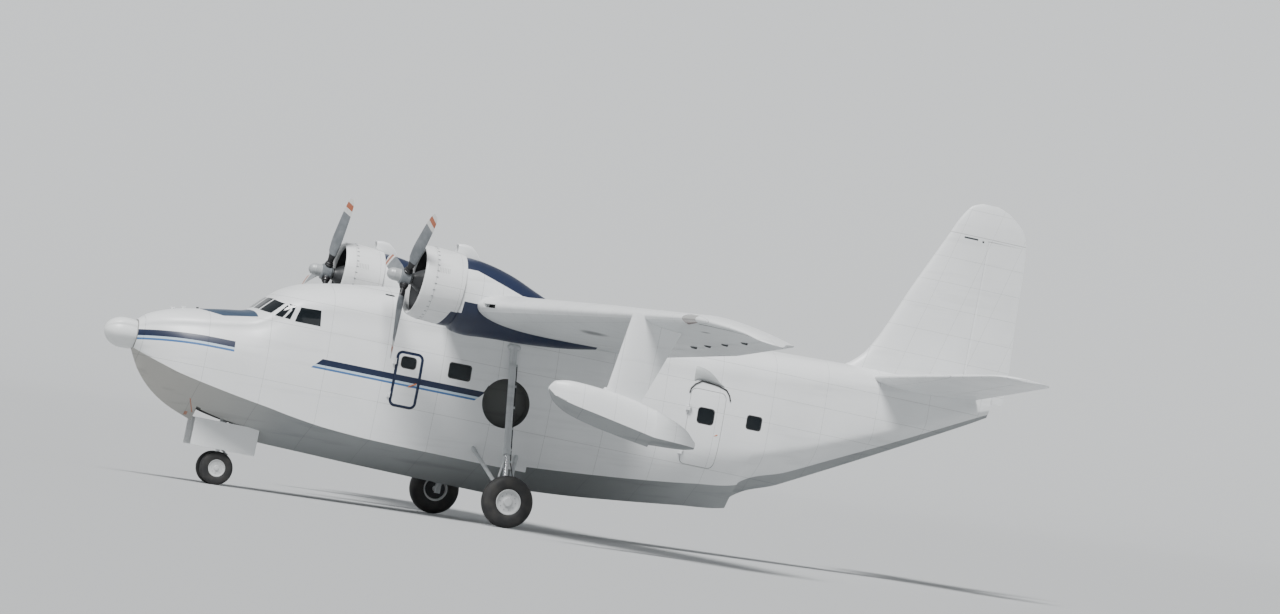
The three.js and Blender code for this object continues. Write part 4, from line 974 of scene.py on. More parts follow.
# %% [markdown]
# ## Cabin doors
# The leaf is the piece of skin that its opening leaves over. Two knuckles on the door's leading
# edge turn on two on the frame, one above the other, so that the door swings out and forward. An
# orange latch handle lies near the aft edge.

# %% Doors
HINGE_RADIUS, HINGE_HEIGHT, KNUCKLE_GAP = 14, 60, 1
HANDLE_BACK, HANDLE_SHARE, HANDLE_PROUD = 75, 0.42, 12
ORANGE = paint("handle_paint", rgb(0.55, 0.16, 0.04), dirt=0.2)


def knuckle(door, low, arm_from, arm_to):
    ends = [(door.hinge_s, door.hinge_y, z) for z in (low, low + HINGE_HEIGHT)]
    arm = block("arm", (arm_from, arm_to), (door.hinge_y - door.reach, door.hinge_y + 8),
                (low, low + HINGE_HEIGHT))
    return boolean(tube("knuckle", *ends, HINGE_RADIUS, 28), "UNION", [arm])


def handle(door):
    s, z = door.end - HANDLE_BACK, door.sill + (door.head - door.sill) * HANDLE_SHARE + 40
    row = hull_row(door.end)
    y = np.interp(0.0, [-100, 1400], [row["waistY"], row["shoulderY"]]) + HANDLE_PROUD
    grip = tube("handle", (s - 140, y, z - 75), (s + 12, y, z + 8), 13, 16)
    return boolean(grip, "UNION", [tube("post", (s, y - 46, z), (s, y, z), 15, 16)])


for door in DOORS:
    moving_knuckles = [knuckle(door, low + HINGE_HEIGHT + KNUCKLE_GAP, door.start, door.start + 30)
                       for low in door.knuckles]
    leaf = assembled(door.name + "_leaf", (HULL_PAINT, leaves[door.name], *moving_knuckles),
                     (ORANGE, handle(door)))
    settle(leaf, door.name, (door.name,))
    fixed = [knuckle(door, low, door.hinge_s - 60, door.hinge_s) for low in door.knuckles]
    pin = [(door.hinge_s, door.hinge_y, door.knuckles[0] - drop) for drop in (6, 1)]
    frame_knuckles = assembled(door.name + "_frame_knuckles", (HULL_PAINT, *fixed, tube("pin", *pin, 8, 16)))
    settle(frame_knuckles, "airframe")

# %% [markdown]
# ## Wings and tail surfaces
# All of these are foils: a mean line with the same thickness law on both sides of it. A flap,
# aileron, elevator or rudder is the part of its foil behind a hinge line, with a round nose about
# that line, and the bay is the same shape a little larger, cut out of the fixed part. The nose is
# measured against the foil at many points, so it fits the skin along the whole span.

# %% Foils
INCIDENCE, CAMBER = math.radians(4), 0.02
WING_JOINT, WING_TIP, TIP_START = 3900.0, 14730.0, 12900.0
TAIL_TIP, TAIL_TIP_START = 4720.0, 4300.0
FOIL_STEPS = 34


def half_thickness(x):
    return 5 * (0.2969 * np.sqrt(x) - 0.126 * x - 0.3516 * x ** 2 + 0.2843 * x ** 3 - 0.1015 * x ** 4)


def foil(row, incidence=0.0, camber=0.0, steps=FOIL_STEPS):
    """Station and height of a foil's outline from the tail over the top and back."""
    back = (1 + np.cos(np.linspace(0, np.pi, steps + 1))) / 2
    x = np.concatenate([back, back[::-1][1:]])
    side = np.concatenate([np.ones(steps + 1), -np.ones(steps)])
    along = x * row["chord"]
    up = 4 * camber * x * (1 - x) * row["chord"] + side * row["thick"] * half_thickness(x) * row["chord"]
    s = row["s"] + along * math.cos(incidence) + up * math.sin(incidence)
    return s, up * math.cos(incidence) - along * math.sin(incidence)


def wing_row(y):
    return straight_row(WING, y) if y < TIP_START else smooth_row(WING, y)


def tail_row(y):
    return smooth_row(TAILPLANE, y) if y > TAIL_TIP_START else straight_row(TAILPLANE, y)


def wing_ring(y):
    s, z = foil(wing_row(y), INCIDENCE, CAMBER)
    return np.column_stack([s, np.full_like(s, y), z + wing_row(y)["z"]])


def tail_ring(y):
    s, z = foil(tail_row(y))
    return np.column_stack([s, np.full_like(s, y), z + tail_row(y)["z"]])


def fin_ring(z):
    s, y = foil(smooth_row(FIN, z))
    return np.column_stack([s, y, np.full_like(s, z)])


def foil_room(row, s, z, incidence=0.0, camber=0.0):
    """Radius that fits inside a foil round a point."""
    along = (s - row["s"]) * math.cos(incidence) - (z - row["z"]) * math.sin(incidence)
    up = (s - row["s"]) * math.sin(incidence) + (z - row["z"]) * math.cos(incidence)
    x = along / row["chord"]
    middle = 4 * camber * x * (1 - x) * row["chord"]
    return row["thick"] * half_thickness(x) * row["chord"] - abs(up - middle)


def wing_point(y, fraction, high=0.0):
    """Point on the wing's mean line, or above it by a share of the half thickness."""
    row = wing_row(y)
    along = fraction * row["chord"]
    up = 4 * CAMBER * fraction * (1 - fraction) * row["chord"]
    up += high * row["thick"] * half_thickness(fraction) * row["chord"]
    return np.array([row["s"] + along * math.cos(INCIDENCE) + up * math.sin(INCIDENCE), y,
                     row["z"] - along * math.sin(INCIDENCE) + up * math.cos(INCIDENCE)])


def tip_stops(start, end, count):
    """Stops between a straight stretch and a tip, closer together towards the tip."""
    return list(end - (end - start) * (1 - np.linspace(0, 1, count)[1:]) ** 1.6)


# %% [markdown]
# ## Hinge lines
# A hinge line runs straight through a foil that tapers, so the round nose's radius changes along it.
# The moving part keeps a thin margin inside the skin, the bay's is a little wider, and a pin at each
# end of the moving part reaches into the fixed one.

# %% Hinge lines
NOSE_MARGIN, BAY_SHARE, BAY_MARGIN = 2.5, 1.08, 8
PIN_RADIUS, PIN_REACH, REGION_HIGH, REGION_BACK = 12, 7, 600, 1500


class HingeLine:
    """A straight hinge line inside a foil, with the radius that fits at many points on it."""

    def __init__(self, start, end, room_at, aside, count=13):
        self.points = [start + (end - start) * t for t in np.linspace(0, 1, count)]
        self.rooms = [room_at(p) for p in self.points]
        self.along = (end - start) / np.linalg.norm(end - start)
        across = np.array(aside, float)
        across -= across.dot(self.along) * self.along
        self.across = across / np.linalg.norm(across)
        aft = np.cross(self.across, self.along)
        self.aft = aft if aft[0] > 0 else -aft

    def region(self, radius_of, overrun, sides=56):
        """Everything behind the hinge line, and the round nose about it."""
        ends = [self.points[0] - self.along * overrun, self.points[-1] + self.along * overrun]
        corners = ((-1, 0), (-1, REGION_BACK), (1, REGION_BACK), (1, 0))
        behind = loft("region", [[p + self.across * side * REGION_HIGH + self.aft * back
                                  for side, back in corners] for p in ends])
        turn = circle(sides)[:, None]
        wheel = np.cos(turn) * self.across + np.sin(turn) * self.aft
        points = [ends[0], *self.points[1:-1], ends[1]]
        nose = loft("nose", [p + wheel * radius_of(r) for p, r in zip(points, self.rooms)])
        return boolean(behind, "UNION", [nose])

    def surface(self, name, body):
        """The moving surface cut from a copy of its foil, with a pin at each end."""
        moving = copy_of(body, name)
        boolean(moving, "INTERSECT", [self.region(lambda room: room - NOSE_MARGIN, 0)])
        reach = self.along * PIN_REACH
        pin = tube("pin", self.points[0] - reach, self.points[-1] + reach, PIN_RADIUS)
        return boolean(moving, "UNION", [pin])

    def bay(self):
        return self.region(lambda room: room * BAY_SHARE + BAY_MARGIN, BAY_MARGIN)


def wing_line(start, end, fraction):
    def room_at(p):
        return foil_room(wing_row(p[1]), p[0], p[2], INCIDENCE, CAMBER)
    return HingeLine(wing_point(start, fraction), wing_point(end, fraction), room_at, (0, 0, 1))


# %% Wing skins, flaps and ailerons
FLAP_HINGE, AILERON_HINGE = 0.76, 0.74
inner_wing = loft("wing_centre_skin", [wing_ring(y) for y in stops(0.0, WING_JOINT, 260)])
outer_stops = stops(WING_JOINT + 0.3, TIP_START, 240, list(WING["y"])) + tip_stops(TIP_START, WING_TIP, 40)
outer_wing = loft("wing_skin_port", [wing_ring(y) for y in outer_stops])
# Moving surfaces by name: the wing they are cut from, distances to port of both ends, and hinge
SURFACES = {"flap_inner": (inner_wing, 1340, 3840, FLAP_HINGE),
            "flap_outer": (outer_wing, 3970, 8380, FLAP_HINGE),
            "aileron": (outer_wing, 8480, 12900, AILERON_HINGE)}
lines = {name: wing_line(*ends) for name, (_, *ends) in SURFACES.items()}
moving = {name: lines[name].surface(f"{name}_skin_port", SURFACES[name][0]) for name in SURFACES}
boolean(inner_wing, "DIFFERENCE", [lines["flap_inner"].bay()])
boolean(outer_wing, "DIFFERENCE", [lines["flap_outer"].bay(), lines["aileron"].bay()])
print("wing faces:", len(outer_wing.data.polygons), "flap:", len(moving["flap_inner"].data.polygons))

# %% [markdown]
# ## Wing paint
# The underside is greyer than the top. Behind the engine it is sooty, three round stains lie under
# the outer wing, and a dark line of painted shadow follows the bent leading edge at the tip. The
# trailing edge of the flaps is darkened underneath too, as painted shade.

# %% Wing paint
# Distance to port, station and sweep of the leading edge's straight stretches at the tip
TIP_EDGE = ((12.9, 7.67, 0.233), (13.2, 7.74, 0.367), (13.8, 7.96, 0.54), (14.3, 8.23, 0.7),
            (14.6, 8.44, 1.54))
# Stains: station, distance to port, and half their size along and across
STAINS = ((7.70, 7.0, 0.30, 0.42), (8.05, 9.9, 0.12, 0.17), (8.2, 12.15, 0.10, 0.17))


def wing_seams(f):
    ribs = f.line(f.size(f.y), 0.62, 0.31, 0.005)
    spars = f.line(f.add(f.s, f.times(f.size(f.y), -0.12)), 0.75, 0.2, 0.005)
    return f.either(ribs, spars)


def stain(f, s, y, half_s, half_y):
    """Soft oval round a place on both wings."""
    ds = f.times(f.add(f.s, -s), 1 / half_s)
    dy = f.times(f.add(f.size(f.y), -y), 1 / half_y)
    return f.ramp(f.add(f.times(ds, ds), f.times(dy, dy)), 1.0, 0.15)


def wing_livery(f):
    up = f.node("SeparateXYZ", {0: f.node("TexCoord", {}, out="Normal")}, out=2)
    out = f.size(f.y)
    under, grey = f.below(up, -0.35), f.below(up, -0.72)
    soot = f.times(f.between(f.s, 6.9, 8.8), f.ramp(f.noise(1.1), 0.45, 0.8),
                   f.ramp(f.size(f.add(out, -3.9)), 1.4, 0.3))
    stains = f.either(*(stain(f, *row) for row in STAINS))
    # The underside of the flaps' trailing edge is darkened as painted shade.
    trailing = f.times(f.above(f.s, 10.085), f.below(out, 8.4))
    edge = f.either(*(f.add(f.times(f.add(out, -y), sweep), s) for y, s, sweep in TIP_EDGE))
    # A dark band just behind the leading edge under the tip is a painted shadow line.
    tip_edge_shadow = f.times(f.between(f.less(f.s, edge), 0.095, 0.13), f.above(out, 12.95))
    dark = f.either(f.times(stains, 0.75), trailing, tip_edge_shadow)
    return [(grey, WING_GREY), (f.times(under, soot, 0.55), rgb(0.09, 0.09, 0.09)),
            (f.times(under, dark), rgb(0.05, 0.055, 0.06))]


WING_PAINT = paint("wing_paint", livery=wing_livery, seams=wing_seams)
# Near-black for the oil cooler slot and the scoop's throat: painted shade of the ducts inside.
INLET_SHADE_BLACK = paint("slot_dark", rgb(0.02, 0.021, 0.022), gloss=0.6)
# The brackets' near-black is painted shadow round them.
BRACKET_SHADOW_DARK = paint("bracket_dark", rgb(0.05, 0.055, 0.06), gloss=0.5)

# %% [markdown]
# ## Fixed details in the wing
# A slot in the leading edge just outboard of each nacelle breathes for the oil cooler; a near-black
# block fills it behind its vanes as painted shade. A landing light sits behind a clear cover far
# outboard. Both are cut out of the skin before it is mirrored.
# Four brackets carry the aileron, coloured near-black as painted shadow.

# %% Slot, landing light and brackets
SLOT_Y, VANE_PITCH = (4070, 4600), 88
LIGHT_Y, LIGHT_HALF = 12740, 260
BRACKET_PLACES = (8620, 9480, 10520, 11700)


def slot_block(name, ahead, back, y, low, high):
    s, _, z = wing_point(4330, 0.012)
    return block(name, (s + ahead, s + back), y, (z + low, z + high))


boolean(outer_wing, "DIFFERENCE", [slot_block("slot", -120, 260, SLOT_Y, -42, 30)])
vanes = [slot_block("vane", 10, 60, (y, y + 6), -40, 28) for y in range(4150, 4590, VANE_PITCH)]
# The lining fills the slot as a near-black block: painted shade.
back_wall = slot_block("slot_lining", 30, 255, (SLOT_Y[0] + 3, SLOT_Y[1] - 3), -39, 27)
settle_pair(assembled("wing_slot_port", (INLET_SHADE_BLACK, back_wall, *vanes)), "airframe")

light_s, _, light_z = wing_point(LIGHT_Y, 0.0)
light_hole = block("hole", (light_s - 90, light_s + 110), (LIGHT_Y - LIGHT_HALF, LIGHT_Y + LIGHT_HALF),
                   (light_z - 130, light_z + 130))
light_cover = copy_of(outer_wing, "landing_light_cover_port")
boolean(light_cover, "INTERSECT", [light_hole], keep=True)
boolean(outer_wing, "DIFFERENCE", [light_hole])
clear = Finish("light_cover", Coat_Weight=0.6, Coat_Roughness=0.05)
COVER = clear.wire(clear.mix(clear.ramp(clear.z, 1.95, 2.07), rgb(0.16, 0.075, 0.06), rgb(0.42, 0.42, 0.41)),
                   clear.ramp(clear.noise(6.0), 0.3, 0.7, 0.1, 0.3))
settle_pair(dress(light_cover, COVER), "airframe")


def bracket(y):
    """A small wedge under the wing, near-black as painted shadow, from its nose in the skin to its deep end
    aft.
    """
    s, _, z = wing_point(y, 0.665, -1.0)
    ends = ((s + 14.8, z + 14, s + 80, z - 24), (s + 175, z + 20, s + 165, z - 30))
    return loft("bracket", [[(s0, y - 26, z0), (s0, y + 26, z0), (s1, y + 26, z1), (s1, y - 26, z1)]
                            for s0, z0, s1, z1 in ends])


brackets = assembled("aileron_brackets_port", (BRACKET_SHADOW_DARK, *map(bracket, BRACKET_PLACES)))
settle_pair(brackets, "airframe")

# %% Wings handed over
for piece in (inner_wing, outer_wing, *moving.values()):
    dress(piece, WING_PAINT)
boolean(inner_wing, "UNION", [mirrored(inner_wing, "centre_starboard")])
settle(inner_wing, "airframe", ("wing_centre",))
settle_pair(outer_wing, "airframe", "wing_port")
for name, piece in moving.items():
    settle_pair(piece, name + "_port", name + "_port")

# %% [markdown]
# ## Tail
# The fin grows out of the hull's tail, and the tailplane crosses it at the hull's top line. A dark
# slit and a drain lie under the fin's cap.

# %% Fin, rudder, tailplane and elevators
RUDDER_S, RUDDER_BOTTOM, RUDDER_TOP = 17680.0, 2620.0, 5380.0
ELEVATOR_S, ELEVATOR_ROOT = 17200.0, 420
FIN_FOOT, FIN_BEND, FIN_CROWN = 2150.0, 5400.0, 6120.0


def fin_seams(f):
    ribs = f.either(f.line(f.z, 0.52, 2.83, 0.005), f.between(f.z, 5.424, 5.438))
    spars = f.line(f.add(f.s, f.times(f.z, -0.28)), 0.7, 0.1, 0.005)
    return f.either(ribs, spars)


def fin_livery(f):
    slit = f.times(f.between(f.z, 5.355, 5.39), f.between(f.s, 17.1, 17.4))
    drain = f.times(f.between(f.z, 5.33, 5.37), f.between(f.s, 17.5, 17.54))
    return [(f.either(slit, drain), rgb(0.03, 0.035, 0.04))]


def rudder_room(p):
    return foil_room({**smooth_row(FIN, p[2]), "z": 0.0}, p[0], 0.0)


def elevator_room(p):
    return foil_room(straight_row(TAILPLANE, p[1]), p[0], p[2])


def elevator_point(y):
    return np.array([ELEVATOR_S, y, straight_row(TAILPLANE, y)["z"]])


TAIL_PAINT = paint("tail_paint", seams=wing_seams)
FIN_PAINT = paint("fin_paint", livery=fin_livery, seams=fin_seams)
fin_stops = stops(FIN_FOOT, FIN_BEND, 130) + list(np.linspace(FIN_BEND, FIN_CROWN, 30)[1:])
fin = loft("fin_skin", [fin_ring(z) for z in fin_stops])
rudder_ends = [np.array([RUDDER_S, 0, z]) for z in (RUDDER_BOTTOM, RUDDER_TOP)]
rudder_line = HingeLine(*rudder_ends, rudder_room, (0, 1, 0))
rudder = rudder_line.surface("rudder_skin", fin)
boolean(fin, "DIFFERENCE", [rudder_line.bay()])
tail_stops = stops(0.0, TAIL_TIP_START, 200, [2200.0]) + tip_stops(TAIL_TIP_START, TAIL_TIP, 24)
tailplane = loft("tailplane_skin_port", [tail_ring(y) for y in tail_stops])
elevator_ends = [elevator_point(y) for y in (ELEVATOR_ROOT, TAIL_TIP_START)]
elevator_line = HingeLine(*elevator_ends, elevator_room, (0, 0, 1))
elevator = elevator_line.surface("elevator_skin_port", tailplane)
boolean(tailplane, "DIFFERENCE", [elevator_line.bay()])
settle(dress(fin, FIN_PAINT), "airframe", ("fin",))
settle(dress(rudder, FIN_PAINT), "rudder", ("rudder",))
settle_pair(dress(tailplane, TAIL_PAINT), "airframe", "tailplane_port")
settle_pair(dress(elevator, TAIL_PAINT), "elevator_port", "elevator_port")

# %% [markdown]
# ## What turns on the thrust line
# Cowl, engine and propeller are drawn about the engine's own axis, with the propeller's plane at
# zero and distances counted forward, and then set on the thrust line, which points a little up.

# %% Turning about the thrust line
ENGINE_Y, HUB_S, HUB_Z = 3100.0, 4920.0, 2120.0
THRUST_TILT = math.radians(3.5)


def on_thrust_line(points, side=1):
    """Points (forward, port, up) from the hub, in millimetres, become drawing-frame points."""
    forward, out, up = np.asarray(points, float).T
    s = HUB_S - forward * math.cos(THRUST_TILT) + up * math.sin(THRUST_TILT)
    z = HUB_Z + forward * math.sin(THRUST_TILT) + up * math.cos(THRUST_TILT)
    return np.column_stack([s, side * ENGINE_Y + out, z])


def turned(name, profile, sides=96, side=1, ends="capped"):
    """Turned body about the thrust line from (forward, radius) pairs."""
    points = on_thrust_line(lathe_points(profile, sides), side)
    return new_object(name, points, loft_faces(len(profile), sides, ends))


# %% [markdown]
# ## Nacelles
# Each nacelle is a loft that starts as wide as the cowl and thins to an edge at the wing's tail.
# A navy band sweeps back along its top, and its lower half is painted near-black against soot.
# An air scoop with an open mouth stands on top, just behind the cowl, and a near-black plug in its throat is
# painted shade.

# %% Nacelles and scoops
def nacelle_livery(f):
    swoosh_edge = f.ramp(f.s, 6.19, 7.15, 2.50, 2.20)
    swoosh = f.times(f.above(f.z, swoosh_edge), f.between(f.s, 5.6, 7.72))
    low_edge = f.ramp(f.above(f.s, 6.0), 0, 1, 1.64, 1.87)
    return [(swoosh, NAVY), (f.below(f.z, low_edge), SOOT_NAVY)]


def nacelle_seams(f):
    return f.either(f.line(f.s, 0.42, 0.02, 0.006), f.between(f.z, 2.04, 2.047))


def nacelle_ring(s, sides=72):
    row = smooth_row(NACELLE, s)
    out, up = (np.sign(v) * np.abs(v) ** 0.92 for v in (np.cos(circle(sides)), np.sin(circle(sides))))
    middle, high = (row["top"] + row["bottom"]) / 2, (row["top"] - row["bottom"]) / 2
    return np.column_stack([np.full(sides, s), ENGINE_Y + row["half"] * out, middle + high * up])


def scoop_ring(s, half, low, high, corner):
    right_top = [(half - corner + corner * math.sin(t), high - corner + corner * math.cos(t))
                 for t in np.linspace(0, np.pi / 2, 7)]
    left_top = [(-y, z) for y, z in right_top[::-1]]
    return [(s, ENGINE_Y + y, z) for y, z in [*left_top, *right_top, (half, low), (-half, low)]]


NACELLE_PAINT = paint("nacelle_paint", livery=nacelle_livery, seams=nacelle_seams, dirt=0.16)
SCOOP_PAINT = paint("scoop_paint", dirt=0.12)
nacelle = loft("nacelle_skin_port", [nacelle_ring(s) for s in stops(5860.0, 8950.0, 60)])
SCOOP = [(5825, 108, 2700, 2952, 50), (5836, 112, 2700, 2958, 54), (5960, 124, 2660, 2972, 70),
         (6090, 124, 2640, 2957, 66), (6190, 116, 2620, 2880, 52), (6300, 104, 2600, 2752, 36)]
scoop = loft("scoop", [scoop_ring(*row) for row in SCOOP])
mouth = loft("mouth", [scoop_ring(s, 94, 2700, 2940, 40) for s in (5800, 5940)])
over_cowl = turned("over_cowl", [(-580, 30), (-580, 726), (-900, 726), (-1024, 710), (-1024, 30)])
lip = turned("lip", [(-580, 30), (-580, 740), (-900, 740), (-1010, 724), (-1010, 30)])
boolean(mouth, "DIFFERENCE", [lip])
boolean(scoop, "DIFFERENCE", [over_cowl, mouth])
# A near-black plug closes the scoop's throat: painted shade of the duct behind it.
throat = loft("throat", [scoop_ring(s, 92, 2800, 2938, 38) for s in (5926, 5939)])
nacelle = assembled("nacelle_skin_port", (NACELLE_PAINT, nacelle), (SCOOP_PAINT, scoop), (INLET_SHADE_BLACK, throat))
settle_pair(nacelle, "airframe", "nacelle_port", 40)

# %% [markdown]
# ## Cowls
# A cowl is a closed ring turned from one profile, with a round lip ahead and an inside painted
# near-black as painted shade. A dark wedge of paint carries the nacelle's lower half on across it.

# %% Cowls
COWL_SIDES = 120


def cowl_livery(f):
    low = f.times(f.below(f.z, f.ramp(f.s, 5.67, 5.79, 1.30, 1.63)), f.above(f.s, 5.66))
    dashes = f.above(f.math("SINE", f.times(f.s, 190.0)), 0.2)
    panel_mark = f.times(f.between(f.s, 5.36, 5.62), f.between(f.z, 2.32, 2.42), dashes)
    return [(low, SOOT_NAVY), (f.times(panel_mark, 0.45), rgb(0.2, 0.2, 0.2))]


def cowl_seams(f):
    rings = f.either(f.between(f.s, 5.348, 5.353), f.between(f.s, 5.86, 5.866))
    long_seams = f.either(f.between(f.z, 2.077, 2.083), f.between(f.z, 1.58, 1.585))
    return f.either(rings, f.times(long_seams, f.above(f.s, 5.35)))


# The cowl's inside is near-black: painted shade of the hollow round the engine.
COWL_INSIDE_SHADE = paint("sooty_grey", rgb(0.035, 0.037, 0.04), dirt=0.3, gloss=0.6)
COWL_PAINT = paint("cowl_paint", rgb(0.79, 0.80, 0.80), cowl_livery, cowl_seams, dirt=0.15)
cowl_lip = [(-268 + 73 * math.cos(t), 658 + 38 * math.sin(t))
            for t in np.linspace(-np.pi * 0.75, np.pi * 0.5, 16)]
cowl_profile = [(-1018, 690), (-890, 700), (-490, 700), (-330, 668), *cowl_lip, (-330, 711), (-420, 718),
                (-560, 722), (-780, 722), (-900, 721), (-1018, 707)]
cowl = dress(turned("cowl_skin_port", cowl_profile, COWL_SIDES, ends="closed"), COWL_PAINT, COWL_INSIDE_SHADE)
# The profile's first three stretches and its last lie inside
inside = (0, 1, 2, len(cowl_profile) - 1)
for i, face in enumerate(cowl.data.polygons):
    face.material_index = int(i // COWL_SIDES in inside)
print("cowl faces:", len(cowl.data.polygons))

# %% [markdown]
# ## What repeats round the engine
# One small node tree sets copies of a piece on a ring about the X axis and gives them a finish. The
# cowl flaps and latches, the cylinders with their fins, the exhaust studs and the wheel bolts all
# come from it, each with its own count and radius. The ring is made at the origin, kept as a plain
# mesh, and then carried to its place.

# %% Ring-of-copies node tree
RING_INPUTS = (("Piece", "NodeSocketObject"), ("Count", "NodeSocketInt"), ("Radius", "NodeSocketFloat"),
               ("Start Angle", "NodeSocketFloat"), ("Axial", "NodeSocketFloat"))


class NodeTree:
    """A Geometry Nodes tree with named inputs, and short ways to add nodes to it."""

    def __init__(self, name, inputs):
        self.tree = bpy.data.node_groups.new(name, "GeometryNodeTree")
        sockets = self.tree.interface
        self.keys = {label: sockets.new_socket(label, in_out="INPUT", socket_type=kind).identifier
                     for label, kind in inputs}
        sockets.new_socket("Geometry", in_out="OUTPUT", socket_type="NodeSocketGeometry")
        self.source = self.tree.nodes.new("NodeGroupInput").outputs

    def node(self, kind, inputs, out=0, **settings):
        return add_node(self.tree, kind, inputs, out, settings)

    def math(self, operation, *values):
        return self.node("ShaderNodeMath", dict(enumerate(values)), operation=operation)

    def vector(self, x, y, z):
        return self.node("ShaderNodeCombineXYZ", {0: x, 1: y, 2: z})

    def lean(self, main, second):
        """Turns a piece's Z along one direction and its X towards another."""
        return self.node("FunctionNodeAxesToRotation", {"Primary Axis": main, "Secondary Axis": second},
                         primary_axis="Z", secondary_axis="X")

    def copies(self, points, material, **places):
        """Every tree ends the same way: the piece on each point, as real geometry with its finish."""
        shape = self.node("GeometryNodeObjectInfo", {"Object": self.source["Piece"]}, out="Geometry")
        copies = self.node("GeometryNodeInstanceOnPoints", {"Points": points, "Instance": shape, **places})
        real = self.node("GeometryNodeRealizeInstances", {"Geometry": copies})
        coated = self.node("GeometryNodeSetMaterial", {"Geometry": real, "Material": material})
        self.tree.links.new(coated, self.tree.nodes.new("NodeGroupOutput").inputs[0])

    def apply(self, obj, **values):
        """Runs the tree on an object and keeps the result as its plain mesh."""
        modifier = obj.modifiers.new("nodes", "NODES")
        modifier.node_group = self.tree
        for label, value in values.items():
            modifier[self.keys[label.replace("_", " ")]] = value
        return plain(obj)


def ring_of(name, piece, material, count, radius, start=0.0, axial=0.0):
    """Copies of a piece on a ring about X; their Z points out, or along X where axial is 1."""
    t = NodeTree(name + "_ring", RING_INPUTS)
    s = t.source
    step = t.math("DIVIDE", 2 * math.pi, s["Count"])
    angle = t.math("MULTIPLY_ADD", t.node("GeometryNodeInputIndex", {}), step, s["Start Angle"])
    cosine, sine = t.math("COSINE", angle), t.math("SINE", angle)
    radial = t.math("SUBTRACT", 1.0, s["Axial"])
    place, main, second = (
        t.vector(x, t.math("MULTIPLY", cosine, scale), t.math("MULTIPLY", sine, scale))
        for x, scale in ((0.0, s["Radius"]), (s["Axial"], radial), (radial, s["Axial"])))
    points = t.node("GeometryNodePoints", {"Count": s["Count"], "Position": place})
    t.copies(points, material, Rotation=t.lean(main, second))
    made = linked(name, bpy.data.meshes.new(name))
    t.apply(made, Piece=piece, Count=count, Radius=float(radius), Start_Angle=float(start),
            Axial=float(axial))
    bpy.data.objects.remove(piece)
    return made


def local_lathe(name, profile, sides=24):
    """Turned body about the local Z axis from (radius, height) pairs."""
    points = lathe_points([(z, r) for r, z in profile], sides)
    return local_mesh(name, np.roll(points, -1, axis=1), loft_faces(len(profile), sides))


def carry(obj, place):
    """Moves a mesh's own points (metres) through a function of millimetre points."""
    points = np.zeros(len(obj.data.vertices) * 3)
    obj.data.vertices.foreach_get("co", points)
    moved = parked(place(points.reshape(-1, 3) * 1000))
    obj.data.vertices.foreach_set("co", moved.ravel())
    obj.data.update()
    turn_outwards(obj.data)
    return obj


def forward_by(distance):
    """Where a ring goes that stands this far forward of the propeller's plane."""
    return lambda points: on_thrust_line(points + (distance, 0, 0))


# %% Cowl flaps and latches
STEEL = mottled("bare_steel", rgb(0.30, 0.31, 0.32), rgb(0.5, 0.51, 0.52), 14.0, (6.0, 0.28, 0.5),
                Metallic=0.9)
flap = local_box("flap", (-0.075, 0.075), (-0.073, 0.073), (-0.004, 0.003))
flaps = carry(ring_of("cowl_flaps", flap, COWL_PAINT, 28, 0.7035, math.pi / 28), forward_by(-945.0))
latch = local_box("latch", (-0.022, 0.022), (-0.009, 0.009), (-0.004, 0.0035))
latches = carry(ring_of("cowl_latches", latch, STEEL, 36, 0.7205), forward_by(-432.0))
settle_pair(joined("cowl_skin_port", [cowl, flaps, latches]), "airframe", "cowl_port", 40)

# %% [markdown]
# ## Radial engine
# Nine cylinders stand round a crankcase in one row. Each is a barrel with close fins, a head with
# coarser fins, and two rocker boxes. A gear case fills the front, with the pushrods fanned out
# round it and the ignition ring in front of them.

# %% Engine
CYLINDERS, CYLINDER_START = 9, math.pi / 2
IRON = mottled("engine_iron", rgb(0.025, 0.026, 0.028), rgb(0.075, 0.076, 0.08), 11.0, (4.0, 0.4, 0.65),
               Metallic=0.6)
CASE_GREY = paint("case_grey", rgb(0.035, 0.037, 0.04), dirt=0.3, gloss=0.5)


def cylinder_piece():
    profile = [(0.05, 0.0), (0.078, 0.0)]
    for i in range(17):
        z = 0.012 + i * 0.0135
        profile += [(0.074, z), (0.088, z + 0.002), (0.088, z + 0.005), (0.074, z + 0.007)]
    profile.append((0.08, 0.25))
    for i in range(8):
        z = 0.256 + i * 0.021
        profile += [(0.078, z), (0.094, z + 0.003), (0.094, z + 0.008), (0.078, z + 0.011)]
    return local_lathe("cylinder", [*profile, (0.072, 0.426), (0.03, 0.434)], 22)


def rod_piece(radius, length, sides):
    return local_lathe("rod", [(radius, 0.0), (radius, length)], sides)


# Each ring: piece, finish, count, radius, start angle, and how far forward it stands
rings = [(cylinder_piece(), IRON, CYLINDERS, 0.245, CYLINDER_START, -590)]
for turn_by in (-0.062, 0.062):
    rings.append((rod_piece(0.012, 0.37, 10), STEEL, CYLINDERS, 0.29, CYLINDER_START + turn_by, -492))
    box = local_lathe("rocker", [(0.0, 0.0), (0.03, 0.002), (0.034, 0.02), (0.03, 0.04), (0.0, 0.045)], 14)
    rings.append((box, CASE_GREY, CYLINDERS, 0.632, CYLINDER_START + turn_by, -520))
stud = local_lathe("stud", [(0.0, 0.0), (0.009, 0.0), (0.009, 0.012), (0.0, 0.012)], 6)
rings.append((stud, STEEL, 24, 0.326, 0.0, -474))
rings.append((rod_piece(0.006, 0.26, 6), IRON, 18, 0.33, CYLINDER_START + 0.11, -455))
repeats = [carry(ring_of(f"engine_ring_{i}", *row), forward_by(forward))
           for i, (*row, forward) in enumerate(rings)]
case = turned("case", [(-132, 20), (-133, 96), (-146, 120), (-182, 134), (-230, 172), (-300, 216),
                       (-360, 246), (-418, 284), (-440, 292), (-446, 318), (-474, 326), (-700, 326),
                       (-760, 262), (-935, 255), (-936, 20)], 72)
